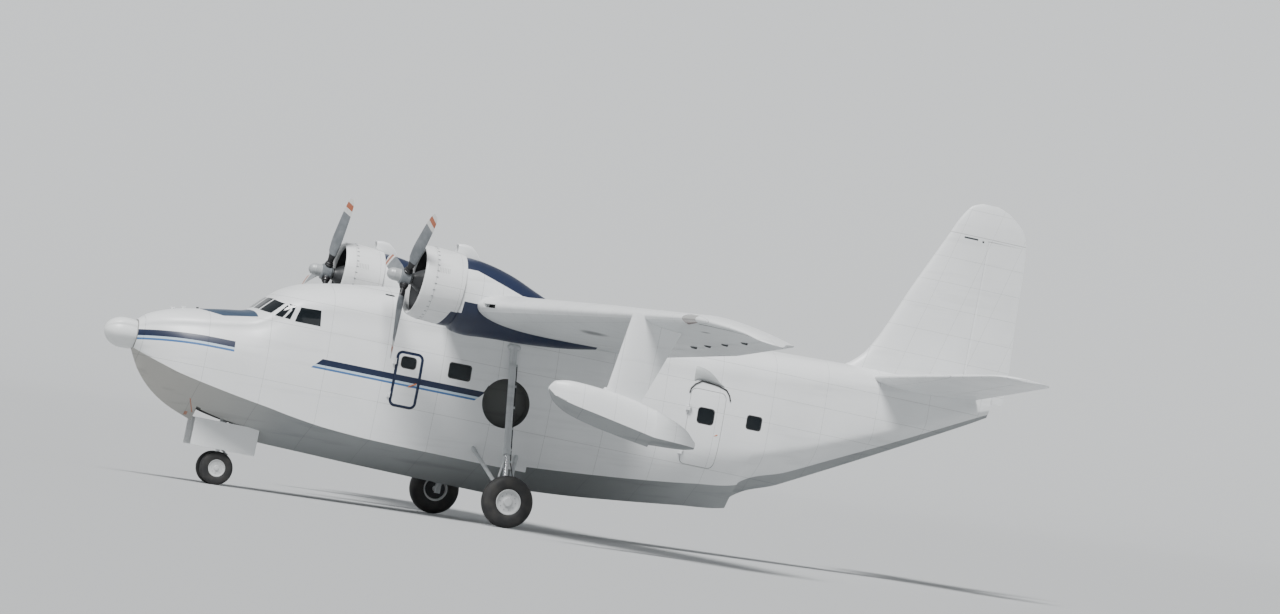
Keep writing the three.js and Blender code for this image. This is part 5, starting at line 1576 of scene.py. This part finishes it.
harness = turned("harness", [(-440 + 13 * math.cos(t), 345 + 13 * math.sin(t)) for t in circle(12)], 72,
                 ends="closed")
baffle = turned("baffle", [(-640, 320), (-648, 320), (-648, 696), (-640, 696)], 90, ends="closed")
solid_parts = [dress(case, CASE_GREY), dress(harness, CASE_GREY), dress(baffle, IRON)]
engine = joined("engine_detail_port", [*repeats, *solid_parts])
settle_pair(engine, "airframe", "engine_port", 30)

# %% [markdown]
# ## Propellers
# A blade is lofted through foil sections whose angle falls towards the tip. The hub is a dome on a
# ring of clamps, with a black cuff at each root. The tips are banded white, orange-red and white.

# %% Propellers
BLADE = table("r chord thick angle", [
    (150, 110, 106, 62), (330, 130, 92, 58), (480, 200, 44, 50), (800, 262, 30, 38),
    (1200, 268, 20, 28), (1500, 236, 13, 23), (1600, 196, 11, 21.5), (1650, 140, 9, 20.5),
    (1672, 70, 6, 20),
])
# Height and radius of the clamp at a blade's root
CLAMP = [(110, 78), (150, 78), (158, 90), (186, 90), (194, 78), (228, 74), (236, 66)]
HUB = [(370 - 120 * (1 - math.cos(t)), 118 * math.sin(t)) for t in np.linspace(0.06, np.pi / 2, 10)]
HUB += [(242, 124), (120, 124), (112, 130), (104, 150), (90, 160), (-78, 160), (-84, 150), (-124, 118),
        (-130, 30)]
PHASES = {"port": (1, 43.4), "starboard": (-1, 23.7)}
ROUND_ROOT = 0.35


def propeller_paint(name):
    """Colours by the distance from the thrust line, the same at any turn of the propeller."""
    f = Finish(name, Metallic=0.15, Coat_Weight=0.1)
    across = f.add(f.size(f.y), -ENGINE_Y / 1000)
    up = f.add(f.times(f.add(f.s, -HUB_S / 1000), math.sin(THRUST_TILT)),
               f.times(f.add(f.z, -HUB_Z / 1000), math.cos(THRUST_TILT)))
    radius = f.distance(across, up)
    worn = f.ramp(f.noise(7.0), 0.35, 0.75)
    colour = f.mix(worn, rgb(0.17, 0.185, 0.20), rgb(0.25, 0.265, 0.28))
    tip_white = rgb(0.72, 0.72, 0.70)
    bands = [(0.0, 0.128, rgb(0.44, 0.455, 0.46)), (0.165, 0.40, rgb(0.02, 0.02, 0.022)),
             (1.33, 1.44, tip_white), (1.44, 1.56, rgb(0.42, 0.125, 0.06)), (1.56, 1.70, tip_white)]
    for low, high, tint in bands:
        colour = f.mix(f.between(radius, low, high), colour, tint)
    colour = f.shade(colour, f.ramp(f.noise(22.0), 0.6, 0.78), 0.25)
    return f.wire(colour, f.ramp(worn, 0, 1, 0.32, 0.5), f.noise(30.0), 0.0006)


def blade_ring(r, steps=14):
    """Section of a blade: a foil, or an oval near the root."""
    row = smooth_row(BLADE, r)
    x = (1 + np.cos(np.linspace(0, np.pi, steps + 1))) / 2
    thin = row["thick"] / row["chord"]
    oval = thin >= ROUND_ROOT
    half = np.sqrt(np.clip(x - x * x, 0, None)) * thin if oval else half_thickness(x) * thin
    u = np.concatenate([x, x[::-1][1:]]) - (0.5 if oval else 0.42)
    v = np.concatenate([half, -half[::-1][1:]])
    if oval:
        u[-1], v[-1] = u[-2], v[-2] * 0.999
    u, v = u * row["chord"], v * row["chord"]
    turn_by = math.radians(row["angle"])
    forward = u * math.sin(turn_by) + v * math.cos(turn_by)
    return np.column_stack([forward, v * math.sin(turn_by) - u * math.cos(turn_by), np.full_like(u, r)])


def spun(points, angle):
    """Points turned about the thrust line."""
    x, y, z = points.T
    cosine, sine = math.cos(angle), math.sin(angle)
    return np.column_stack([x, y * cosine - z * sine, y * sine + z * cosine])


PROPELLER_PAINT = propeller_paint("propeller_paint")
blade_rings = [blade_ring(r) for r in stops(120.0, 1672.0, 48, [1600.0, 1650.0])]
# Points and faces of one blade and of its clamp, standing up from the hub
BLADE_SHAPES = [(np.vstack(blade_rings), loft_faces(len(blade_rings), len(blade_rings[0]))),
                (np.roll(lathe_points(CLAMP, 28), -1, axis=1), loft_faces(len(CLAMP), 28))]
for word, (side, phase) in PHASES.items():
    blades = [new_object("blade", on_thrust_line(spun(points, math.radians(120 * i - phase)), side), faces)
              for i in range(3) for points, faces in BLADE_SHAPES]
    whole = assembled(f"propeller_detail_{word}", (PROPELLER_PAINT, turned("hub", HUB, 64, side), *blades))
    settle(whole, f"propeller_{word}", (f"propeller_{word}",), 35)

# %% [markdown]
# ## Wing floats
# A float keeps each wing tip off the water. It is a small hull of its own: a vee bottom with a hard
# chine, a step under the strut and a round deck. One thick foil-shaped strut carries it, set deep
# in the wing.

# %% Floats and struts
FLOAT_Y, FLOAT_STEP = 10900.0, 7931.0


def float_ring(s):
    same_side = (FLOAT["s"] < FLOAT_STEP) == (s < FLOAT_STEP)
    row = smooth_row({name: values[same_side] for name, values in FLOAT.items()}, s)
    keel, chine, top, half = row["keel"], row["chineZ"], row["top"], row["half"]
    bottom = [(t * half, keel + (chine - keel) * (t + 0.06 * math.sin(math.pi * t)))
              for t in np.linspace(0, 1, 9)]
    side = [(half * math.cos(a) ** 0.45, chine + (top - chine) * math.sin(a) ** 1.15)
            for a in np.linspace(0.06, math.pi / 2, 20)]
    one = [*bottom, *side]
    other = [(-y, z) for y, z in one[1:-1][::-1]]
    return [(s, FLOAT_Y + y, z) for y, z in [*one, *other]]


def strut_ring(z, front, back):
    s, out = foil({"s": front, "chord": back - front, "thick": 0.16}, steps=24)
    return np.column_stack([s, FLOAT_Y + out, np.full_like(s, z)])


FLOAT_PAINT = paint("float_paint", dirt=0.14, seams=lambda f: f.line(f.s, 0.62, 0.3, 0.005))
stations = [*stops(5890.0, 7930.0, 45, [5990.0]), *stops(7932.0, 8806.0, 45)]
float_skin = dress(loft("float_skin_port", [float_ring(s) for s in stations]), FLOAT_PAINT, KEEL_PAINT)
middles = drawing_frame(face_values(float_skin.data, "center"))
low = middles[:, 2] < np.interp(middles[:, 0], FLOAT["s"], FLOAT["chineZ"]) + 1
float_skin.data.polygons.foreach_set("material_index", low.astype(np.int32))
strut = loft("strut", [strut_ring(z, 6920 + 260 * t, 7590 + 640 * t)
                       for z, t in ((300, 0.0), (800, 0.286), (1400, 0.629), (2040, 0.994))])
collar = loft("collar", [strut_ring(z, 6900 + grow, 7612 - grow)
                         for z, grow in ((430, 0), (560, 0), (590, 8), (610, 22))])
strut = assembled("float_strut_skin_port", (FLOAT_PAINT, strut, collar))
settle_pair(float_skin, "airframe", "float_port", 26)
settle_pair(strut, "airframe", "float_strut_port", 26)

# %% [markdown]
# ## Landing gear
# The boat is an amphibian. Each main wheel hangs on a long leg and two braces that fold into the
# round well in the hull's side, and a steered leg with two wheels fills the bay in the bow. Tyres
# and wheels are turned about their axles, and their bolts come from the ring-of-copies tree.

# %% Gear finishes
GEAR_PAINT = paint("gear_paint", rgb(0.52, 0.54, 0.55), dirt=0.3, gloss=0.42)
WHEEL_PAINT = paint("wheel_paint", rgb(0.66, 0.67, 0.67), dirt=0.3, gloss=0.4)
CHROME = mottled("oiled_chrome", rgb(0.55, 0.56, 0.57), rgb(0.72, 0.73, 0.74), 9.0, (20.0, 0.12, 0.28),
                 Metallic=1.0)
HOSE = mottled("hose_black", rgb(0.012, 0.012, 0.013), rgb(0.03, 0.03, 0.03), 30.0, (12.0, 0.45, 0.7))
rubber = Finish("tyre_rubber")
dusty = rubber.ramp(rubber.noise(5.0, detail=6.0), 0.42, 0.72)
TYRE_RUBBER = rubber.wire(rubber.mix(dusty, rgb(0.018, 0.018, 0.019), rgb(0.05, 0.048, 0.045)),
                          rubber.ramp(dusty, 0, 1, 0.62, 0.88), rubber.noise(60.0), 0.0008)


# %% Tyres and wheels
def across(points, middle):
    """Points (along the axle, s, z), in millimetres, set about an axle's middle."""
    y, s, z = np.asarray(points, float).T
    return np.column_stack([middle[0] + s, middle[1] + y, middle[2] + z])


def axle_lathe(name, profile, middle, sides=96, ends="capped"):
    """Turned body about an axle from (radius, distance to port) pairs."""
    points = across(lathe_points([(y, r) for r, y in profile], sides), middle)
    return new_object(name, points, loft_faces(len(profile), sides, ends))


# A tyre's side: share of the way from rim to tread, and share of half the width
TYRE_SIDE = [(0.0, 0.72), (0.05, 0.80), (0.2, 0.93), (0.45, 1.0), (0.62, 0.985), (0.76, 0.92), (0.86, 0.82),
             (0.94, 0.66), (0.985, 0.5)]


def tyre(name, middle, radius, width, rim, grooves):
    half, deep = width / 2, radius - rim
    left = [(rim + share * deep, -wide * half) for share, wide in TYRE_SIDE]
    crown = [(radius, -0.36 * half)]
    for g in grooves:
        y, cut, floor_at = g * half, 0.035 * half, radius - 0.045 * deep
        crown += [(radius, y - cut), (floor_at, y - cut * 0.7), (floor_at, y + cut * 0.7), (radius, y + cut)]
    crown.append((radius, 0.36 * half))
    right = [(r, -y) for r, y in left[::-1]]
    inside = [(rim, 0.4 * half), (rim, -0.4 * half)]
    made = axle_lathe(name, [*left, *crown, *right, *inside], middle, 120, "closed")
    return dress(made, TYRE_RUBBER)


def wheel(name, middle, profile, bolts):
    """A wheel turned in one piece, with a ring of bolts on its outboard face."""
    count, radius, face_y, size = bolts
    disc = dress(axle_lathe(name, profile, middle), WHEEL_PAINT)
    bolt = local_lathe("bolt", [(0.0, 0.0), (size, 0.0), (size, size * 0.8), (size * 0.5, size),
                                (size * 0.5, size * 1.6), (0.0, size * 1.6)], 6)
    nuts = carry(ring_of("wheel_bolts", bolt, STEEL, count, radius / 1000, axial=1.0),
                 lambda points: across(points + (face_y, 0, 0), middle))
    return joined(name, [disc, nuts])


# %% Main wheels
AXLE_S, WHEEL_Y, AXLE_Z = 7920.0, 2690.0, -1745.0
MAIN_HUB = [(1, -79.7), (90, -79.7), (96, -72), (110, -60), (206, -60), (216, -66), (232, -112),
            (249.7, -116), (249.7, 116), (238, 118), (230, 112), (219, 78), (208, 68), (186, 60),
            (120, 58), (98, 64), (90, 74), (84, 92), (74, 99), (1, 100)]
wheel_middle = (AXLE_S, WHEEL_Y, AXLE_Z)
main_tyre = tyre("main_tyre_skin_port", wheel_middle, 508, 300, 250, (-0.24, -0.08, 0.08, 0.24))
main_wheel = wheel("main_wheel_skin_port", wheel_middle, MAIN_HUB, (10, 158, 57, 0.011))

# %% [markdown]
# ## Main legs
# The leg slides on a bright piston above its yoke, two braces run from the yoke back to the hull,
# and a scissor link keeps the wheel straight. A brake unit stands beside the wheel, and its hose is
# clamped up the leg.

# %% Main legs
TOP, CHIN = (7900, 1130, 1280), (7920, 2420, -1685)
KNEE = (AXLE_S - 150, 2290, -1290)
YOKE_Y, PIVOT = 2420, (1140, 1275)
BRAKE_RADIUS, BRAKE_Y = 150, (2598, 2612)


def partway(a, b, t):
    return np.array(a) + (np.array(b) - np.array(a)) * t


def on_leg(t):
    return partway(CHIN, TOP, t)


leg = [tube("leg", on_leg(0.30), TOP, 70, 40),
       tube("gland", on_leg(0.285), on_leg(0.325), 79, 40),
       tube("yoke", (AXLE_S, YOKE_Y, -1830), (AXLE_S, YOKE_Y, -1660), 62, 40),
       tube("yoke_top", (AXLE_S, YOKE_Y, -1670), on_leg(0.06), 62, 40, 54),
       tube("axle", (AXLE_S, 2360, AXLE_Z), (AXLE_S, 2609, AXLE_Z), 48, 40),
       tube("axle_nut", (AXLE_S, 2352, AXLE_Z), (AXLE_S, 2366, AXLE_Z), 30, 6),
       tube("link", (AXLE_S, YOKE_Y, -1650), KNEE, 20, 16),
       tube("link", KNEE, on_leg(0.30), 20, 16)]
for aft in (-1, 1):
    foot, root = (AXLE_S + aft * 62, 2405, -1600), (7900 + aft * 480, 1130, -770)
    leg.append(tube("brace", foot, root, 40, 30))
    leg += [tube("sleeve", partway(foot, root, t), partway(foot, root, t + 0.05), 47, 30)
            for t in (0.02, 0.10, 0.86)]
    leg.append(tube("pin", (foot[0] - 62, *foot[1:]), (foot[0] + 62, *foot[1:]), 24, 20))
for s0, s1, radius, sides in ((7790, 8010, 60, 32), (7770, 7790, 34, 6), (8010, 8030, 34, 6)):
    leg.append(tube("pivot", (s0, *PIVOT), (s1, *PIVOT), radius, sides))
hose_path = [(AXLE_S + 70, 2600, AXLE_Z + 130), (AXLE_S + 140, 2530, -1500), (AXLE_S + 125, 2400, -1330)]
for t in (0.24, 0.32, 0.46, 0.60, 0.74, 0.88):
    beside = on_leg(t) + (88, 0, 0)
    hose_path.append(beside)
    leg.append(tube("clamp", beside - (0, -9, 22), beside + (0, -9, 22), 16, 14))
hose = [tube("hose", a, b, 11, 12) for a, b in zip(hose_path, hose_path[1:])]
piston = tube("piston", on_leg(0.03), on_leg(0.31), 48, 40)
brake = axle_lathe("brake", [(60, -46), (60, -8), (196, -8), (204, -14), (204, -38), (196, -46)],
                   (AXLE_S, 2652, AXLE_Z), 72, "closed")
cylinders = []
for a in np.linspace(0.3, 5.2, 5):
    s, z = AXLE_S + BRAKE_RADIUS * math.cos(a), AXLE_Z + BRAKE_RADIUS * math.sin(a)
    cylinders.append(tube("brake_piston", *((s, y, z) for y in BRAKE_Y), 24, 18))
main_leg = assembled("main_leg_detail_port", (GEAR_PAINT, *leg), (CHROME, piston),
                     (IRON, brake, *cylinders), (HOSE, *hose))
settle_pair(main_tyre, "main_wheel_port", "main_tyre_port")
settle_pair(main_wheel, "main_wheel_port", "main_wheel_port")
settle_pair(main_leg, "airframe", "main_leg_port")

# %% [markdown]
# ## Nose gear
# The leg is fixed, and its fork turns below a collar with the two wheels on one axle. Every tube
# here is written from the leg's own line: its two ends aft of that line, to port and up, its radius
# and its number of sides.

# %% Nose gear
NOSE_LEG_S, NOSE_AXLE_Z = 2700.0, -2198.0
NOSE_LEG = [("leg", (0, 0, -975), (0, 0, -1740), 72, 40), ("gland", (0, 0, -1705), (0, 0, -1759), 75, 40),
            ("band", (0, 0, -1395), (0, 0, -1450), 78, 40), ("brace", (30, 0, -1420), (465, 0, -975), 30, 28),
            ("brace_collar", (190, 0, -1256), (260, 0, -1188), 37, 28),
            ("jack", (0, 66, -1500), (0, 66, -1640), 16, 20),
            ("jack", (0, -66, -1500), (0, -66, -1640), 16, 20)]
NOSE_FORK = [("yoke", (0, 0, -1990), (0, 0, -2198), 55, 36), ("collar", (0, 0, -1762), (0, 0, -1812), 74, 36),
             ("axle", (0, -61, NOSE_AXLE_Z), (0, 61, NOSE_AXLE_Z), 58, 36),
             ("link", (40, 0, -1790), (190, 0, -1900), 20, 16),
             ("link", (190, 0, -1900), (40, 0, -2060), 20, 16),
             ("link_pin", (190, -32, -1900), (190, 32, -1900), 22, 16)]
NOSE_HUB = [(1, -102.7), (60, -102.7), (66, -60), (76, -42), (146, -40), (158, -54), (169.7, -56),
            (169.7, 54), (160, 56), (152, 50), (144, 38), (128, 34), (58, 34), (50, 40), (44, 56),
            (36, 60), (1, 60)]


def leg_tube(name, start, end, radius, sides):
    ends = [(NOSE_LEG_S + aft, y, z) for aft, y, z in (start, end)]
    return tube(name, *ends, radius, sides)


nose_leg = assembled("nose_leg_detail", (GEAR_PAINT, *(leg_tube(*row) for row in NOSE_LEG)))
settle(nose_leg, "airframe", ("nose_leg",))
nose_piston = leg_tube("piston", (0, 0, -1800), (0, 0, -2000), 46, 36)
nose_fork = assembled("nose_fork_detail", (GEAR_PAINT, *(leg_tube(*row) for row in NOSE_FORK)),
                      (CHROME, nose_piston))
settle(nose_fork, "nose_fork", ("nose_fork",))
nose_middle = (NOSE_LEG_S, 165.0, NOSE_AXLE_Z)
nose_tyre = tyre("nose_tyre_skin_port", nose_middle, 329.5, 150, 170, (-0.2, 0.2))
nose_wheel = wheel("nose_wheel_skin_port", nose_middle, NOSE_HUB, (8, 98, 34, 0.007))
settle_pair(nose_tyre, "nose_wheels", "nose_tyre_port")
settle_pair(nose_wheel, "nose_wheels", "nose_wheel_port")

# %% Nose gear doors
GEAR_DOOR_PAINT = paint("gear_door_paint", dirt=0.14)
RIB_PLACES = (2140, 2440, 2740, 3040, 3290)
gear_door = block("nose_gear_door_skin_port", (2060, 3370), (304, 322), (-1830, -1290))
ribs = [block("rib", (s, s + 28), (297, 306), (-1806, -1290)) for s in RIB_PLACES]
rail = block("rail", (2090, 3340), (297, 306), (-1812, -1784))
boolean(gear_door, "UNION", [*ribs, rail])
boolean(gear_door, "DIFFERENCE", [hull_loft("below", 2040.0, 3400.0, grow=1.0)])
hinges = [tube("hinge", (s - 45, 312, z), (s + 45, 312, z), 11, 16)
          for s, z in ((2260, -1420), (3120, -1500))]
gear_door = assembled("nose_gear_door_skin_port", (GEAR_DOOR_PAINT, gear_door, *hinges))
settle_pair(gear_door, "airframe", "nose_gear_door_port")

# %% [markdown]
# ## Rivets
# Rows of rivets hold the skin to its frames and ribs. Their places are points that carry the
# skin's outward direction, and one node tree sets a flat dome on each point. Rows stop short of
# every window, door and well, so that no rivet hangs over an opening.

# %% Copies-at-points node tree
COPY_INPUTS = (("Points", "NodeSocketGeometry"), ("Piece", "NodeSocketObject"), ("Size", "NodeSocketFloat"))


def copies_at(name, piece, material, points, outs, size=1.0):
    """Copies of a piece at points; each copy's Z lies along the point's own direction."""
    points, outs = np.asarray(points, float), np.asarray(outs, float)
    mesh = bpy.data.meshes.new(name)
    mesh.from_pydata(parked(points).tolist(), [], [])
    ways = mesh.attributes.new("out", "FLOAT_VECTOR", "POINT")
    ways.data.foreach_set("vector", (parked(points + outs) - parked(points)).ravel() * 1000)
    t = NodeTree(name + "_copies", COPY_INPUTS)
    out = t.node("GeometryNodeInputNamedAttribute", {"Name": "out"}, data_type="FLOAT_VECTOR")
    spots = t.node("GeometryNodeMeshToPoints", {"Mesh": t.source["Points"]})
    t.copies(spots, material, Rotation=t.lean(out, (1.0, 0.0, 0.0)), Scale=t.source["Size"])
    made = t.apply(linked(name, mesh), Piece=piece, Size=float(size))
    bpy.data.objects.remove(piece)
    return made


# %% Rivet rows
RIVET_PITCH, RIVET_RADIUS, RIVET_HEIGHT, RIVET_SUNK = 70.0, 0.0065, 0.0016, 0.0004
COCKPIT_AREA = (2980, 4010, 880, 1300)
FRAME_PITCH, WING_PITCH, FIN_PITCH = 580.0, 620.0, 520.0


def clear_of_openings(s, z, margin=45):
    """False over windows, doors, wheel wells, cockpit panes and the wing's root."""
    for a, b, low, high in [*WINDOWS, *(door.area for door in DOORS), COCKPIT_AREA]:
        if a - margin < s < b + margin and low - margin < z < high + margin:
            return False
    if math.hypot(s - WELL_S, z - WELL_Z) < WELL_RADIUS + 30:
        return False
    wing_z = 1860 - (s - 6250) * 0.07
    return not (6100 < s < 10260 and z > wing_z - 420)


def hull_rivets(s):
    """Points and directions round a frame, from the chine up, on both sides."""
    half = half_section(hull_row(s))[9:]
    step = np.linalg.norm(np.diff(half, axis=0), axis=1)
    along = np.concatenate([[0], np.cumsum(step)])
    spots = []
    for d in np.arange(60.0, along[-1] - 60, RIVET_PITCH):
        (y0, y, y1), (z0, z, z1) = (np.interp((d - 20, d, d + 20), along, half[:, i]) for i in (0, 1))
        out = np.array([0.0, z1 - z0, y0 - y1]) / math.hypot(y1 - y0, z1 - z0)
        if clear_of_openings(s, z):
            spots += [((s, side * y, z), out * (1, side, 1)) for side in (1, -1)]
    return spots


def foil_rivets(ring, normal_axis, low, high):
    """A row along a foil's rib between two shares of the chord, above and below."""
    s0, chord = ring[:, 0].min(), np.ptp(ring[:, 0])
    top, under = ring[:FOIL_STEPS + 1][::-1], ring[FOIL_STEPS:]
    spots = []
    for skin, sign in ((top, 1.0), (under, -1.0)):
        out = sign * np.eye(3)[normal_axis]
        for s in np.arange(s0 + chord * low, s0 + chord * high, RIVET_PITCH):
            spots.append((np.array([np.interp(s, skin[:, 0], skin[:, i]) for i in range(3)]), out))
    return spots


def set_rivets(name, material, spots):
    """A six-sided dome, sunk a little into the skin, on every spot."""
    rim = [(RIVET_RADIUS * math.cos(t), RIVET_RADIUS * math.sin(t), -RIVET_SUNK) for t in circle(6)]
    faces = [(i, (i + 1) % 6, 6) for i in range(6)] + [tuple(range(5, -1, -1))]
    rivet = local_mesh("rivet", [*rim, (0, 0, RIVET_HEIGHT)], faces)
    settle(copies_at(name, rivet, material, *zip(*spots)), "airframe", angle=60)


# Each sum below makes one list of spots from one list a row
frames = [s for s in np.arange(720.0, 17900.0, FRAME_PITCH)
          if abs(s - MAIN_STEP) > 60 and abs(s - AFT_STEP) > 60]
set_rivets("hull_rivets", HULL_PAINT, sum((hull_rivets(s + 14) for s in frames), []))
ribs = [y for y in np.arange(4650.0, 14000.0, WING_PITCH) if abs(y - FLOAT_Y) > 130]
port = sum((foil_rivets(wing_ring(y + 12), 2, 0.16, 0.66) for y in ribs), [])
set_rivets("wing_rivets", WING_PAINT, port + [(p * (1, -1, 1), out) for p, out in port])
spots = sum((foil_rivets(fin_ring(z + 12), 1, 0.06, 0.55) for z in np.arange(2830.0, 5900.0, FIN_PITCH)), [])
for y in np.arange(1100.0, TAIL_TIP_START, WING_PITCH):
    row = foil_rivets(tail_ring(y), 2, 0.08, 0.5)
    spots += [(p * (1, side, 1), out) for side in (1, -1) for p, out in row]
set_rivets("tail_rivets", TAIL_PAINT, spots)

# %% [markdown]
# ## Inside the cabin
# Little shows through the dark glass, but the cockpit would look hollow without its fittings. Two
# crew seats face a panel under a glare shield, with a yoke on each side, and a bulkhead closes the
# cockpit. Passenger seats stand in pairs. The same tree that set the rivets sets every seat.

# %% Seats
SEAT_CLOTH = mottled("seat_cloth", rgb(0.07, 0.085, 0.11), rgb(0.11, 0.13, 0.16), 14.0, (40.0, 0.8, 0.95),
                     (120.0, 0.0006))
CREW_FLOOR = FLOOR_Z + 260
SEAT_STATIONS, NO_SEAT = (4900, 6350, 7000, 9000, 9900, 10700), (4900, 640)


def softened(box, corner=0.03):
    """The same box with rounded edges."""
    soft = box.modifiers.new("round", "BEVEL")
    soft.width, soft.segments, soft.limit_method = corner, 3, "NONE"
    return plain(box)


def seats_at(name, places):
    """Seats that face forward, each with the middle of its front edge at a place."""
    cloth = [softened(local_box("pad", (-0.44, 0.0), (-0.215, 0.215), (0.34, 0.45))),
             softened(local_box("back", (-0.53, -0.42), (-0.21, 0.21), (0.40, 1.03))),
             softened(local_box("head", (-0.52, -0.43), (-0.12, 0.12), (1.04, 1.21)))]
    base = local_box("base", (-0.42, -0.06), (-0.15, 0.15), (0.0, 0.35))
    ups = [(0, 0, 1)] * len(places)
    return [copies_at(name, joined("seat", cloth), SEAT_CLOTH, places, ups),
            copies_at(name + "_bases", base, GEAR_PAINT, places, ups)]


crew = seats_at("crew_seats", [(3760, side * 440, CREW_FLOOR) for side in (1, -1)])

# %% Cockpit
PANEL_BLACK = paint("panel_black", rgb(0.03, 0.032, 0.034), dirt=0.1, gloss=0.6)
dial = Finish("dial_glass", Coat_Weight=0.5)
DIAL = dial.wire(dial.mix(dial.ramp(dial.noise(80.0), 0.5, 0.6), rgb(0.01, 0.01, 0.01), rgb(0.3, 0.31, 0.3)))
plinth = block("plinth", (3700, 4390), (-760, 760), (FLOOR_Z, CREW_FLOOR + 2))
black = [block("panel", (3120, 3165), (-760, 760), (380, 800)),
         softened(block("shield", (3060, 3260), (-760, 760), (800, 838)), 0.012),
         block("pedestal", (3165, 3700), (-120, 120), (FLOOR_Z, 330))]
dials = []
for side in (1, -1):
    dials += [tube("dial", *((s, side * (300 + 110 * col), 700 - 120 * row) for s in (3166, 3176)), 43, 20)
              for row in (0, 1) for col in range(4)]
    y = side * 440
    black += [tube("column", (3180, y, 560), (3380, y, 560), 18, 16),
              block("yoke", (3380, 3404), (y - 150, y + 150), (545, 575))]
    black += [tube("grip", (3392, y + way * 140, 545), (3392, y + way * 150, 680), 15, 12)
              for way in (-1, 1)]
fittings = assembled("cockpit_fittings", (GEAR_PAINT, plinth), (PANEL_BLACK, *black), (DIAL, *dials))
settle(joined("cockpit_fittings", [*crew, fittings]), "airframe")


# %% Bulkheads and passenger seats
def bulkhead(s, door_half, door_head):
    """A wall 20 mm thick across the room, with a doorway."""
    half = half_section(room_row(hull_row(s)), *ROOM_SECTION) * (0.995, 1)
    wall = loft("wall", [section_ring(s + d, half) for d in (0, 20)])
    gap = block("gap", (s - 10, s + 30), (-door_half, door_half), (FLOOR_Z - 5, door_head))
    return boolean(wall, "DIFFERENCE", [gap])


walls = assembled("cabin_bulkheads", (CABIN_PAINT, bulkhead(4400, 260, 1150), bulkhead(12500, 200, 900)))
settle(walls, "airframe")
places = [(s, side * 640, FLOOR_Z) for s in SEAT_STATIONS for side in (1, -1) if (s, side * 640) != NO_SEAT]
settle(joined("cabin_seats", seats_at("seats", places)), "airframe")

# %% [markdown]
# ## Small fittings on the hull
# A hood with a gutter keeps rain off the aft door. Two mooring cleats and a light stand on the
# foredeck, and a small vent sits high on each side behind the cockpit.

# %% Hood and gutter
GUTTER = [(11674, 1109), (11694, 1205), (11770, 1299), (11907, 1386), (12084, 1374), (12263, 1353),
          (12449, 1305), (12531, 1205), (12570, 1096)]
# Sections of the hood: station, foot, head, and how far it stands out
HOOD = [(11735, 1330, 1660, 4), (11800, 1392, 1662, 46), (11910, 1405, 1645, 74), (12030, 1398, 1610, 78),
        (12150, 1388, 1535, 60), (12260, 1376, 1450, 34), (12400, 1338, 1368, 5)]
# The hood is mid-grey as painted shade, against the white hull round it.
HOOD_SHADE_GREY = paint("hood_paint", rgb(0.42, 0.44, 0.44), dirt=0.35, gloss=0.5)


def on_skin(s, z, out, side=1):
    """Point that stands out from the hull's side at a station and height above the chine."""
    half = half_section(hull_row(s))[9:]
    return (s, side * (np.interp(z, half[:, 1], half[:, 0]) + out), z)


def hood_ring(s, low, high, reach):
    outer = [on_skin(s, (low + high) / 2 + (high - low) / 2 * math.cos(t),
                     -12 + (reach + 12) * math.sin(t) ** 0.7) for t in np.linspace(0, math.pi, 13)]
    return outer + [on_skin(s, z, -30) for z in (low + 2, (low + high) / 2, high - 2)]


path = [on_skin(s, z, 6) for s, z in GUTTER]
gutter = [tube("gutter", a, b, 14, 12) for a, b in zip(path, path[1:])]
hood = loft("hood", [hood_ring(*row) for row in HOOD])

# %% Cleats, deck light and vents
CLEATS, DECK_LIGHT, VENT_Z = (1250, 1460), 1740, 1795
VENT_ROWS = ((5225, 5), (5250, 16), (5390, 16), (5415, 5))


def deck_post(name, s, high, radius, sides=24):
    top = smooth_row(FOREBODY, s)["top"]
    return tube(name, (s, 0, top - 10), (s, 0, top + high), radius, sides)


def cleat(s):
    z = smooth_row(FOREBODY, s)["top"] + 26
    return [deck_post("cleat", s, 32, 20), tube("cleat_bar", (s - 45, 0, z), (s + 45, 0, z), 11, 12)]


def vent(side):
    return loft("vent", [[on_skin(s, VENT_Z + up * half, out, side)
                          for up, out in ((1, 4), (-1, 4), (-1, -20), (1, -20))] for s, half in VENT_ROWS])


cleats = [part for s in CLEATS for part in cleat(s)]
deck_light = deck_post("deck_light", DECK_LIGHT, 26, 26)
fittings = assembled("hull_fittings", (HOOD_SHADE_GREY, hood), (HULL_PAINT, *cleats), (RUBBER, *gutter),
                     (PANEL_BLACK, deck_light, vent(1), vent(-1)))
settle(fittings, "airframe")

# %% [markdown]
# ## Sizes
# The boxes of the imported model and of the finished picture are listed together at the end.

# %% Sizes
[[list(corner) for corner in box] for box in (cad_box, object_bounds())]
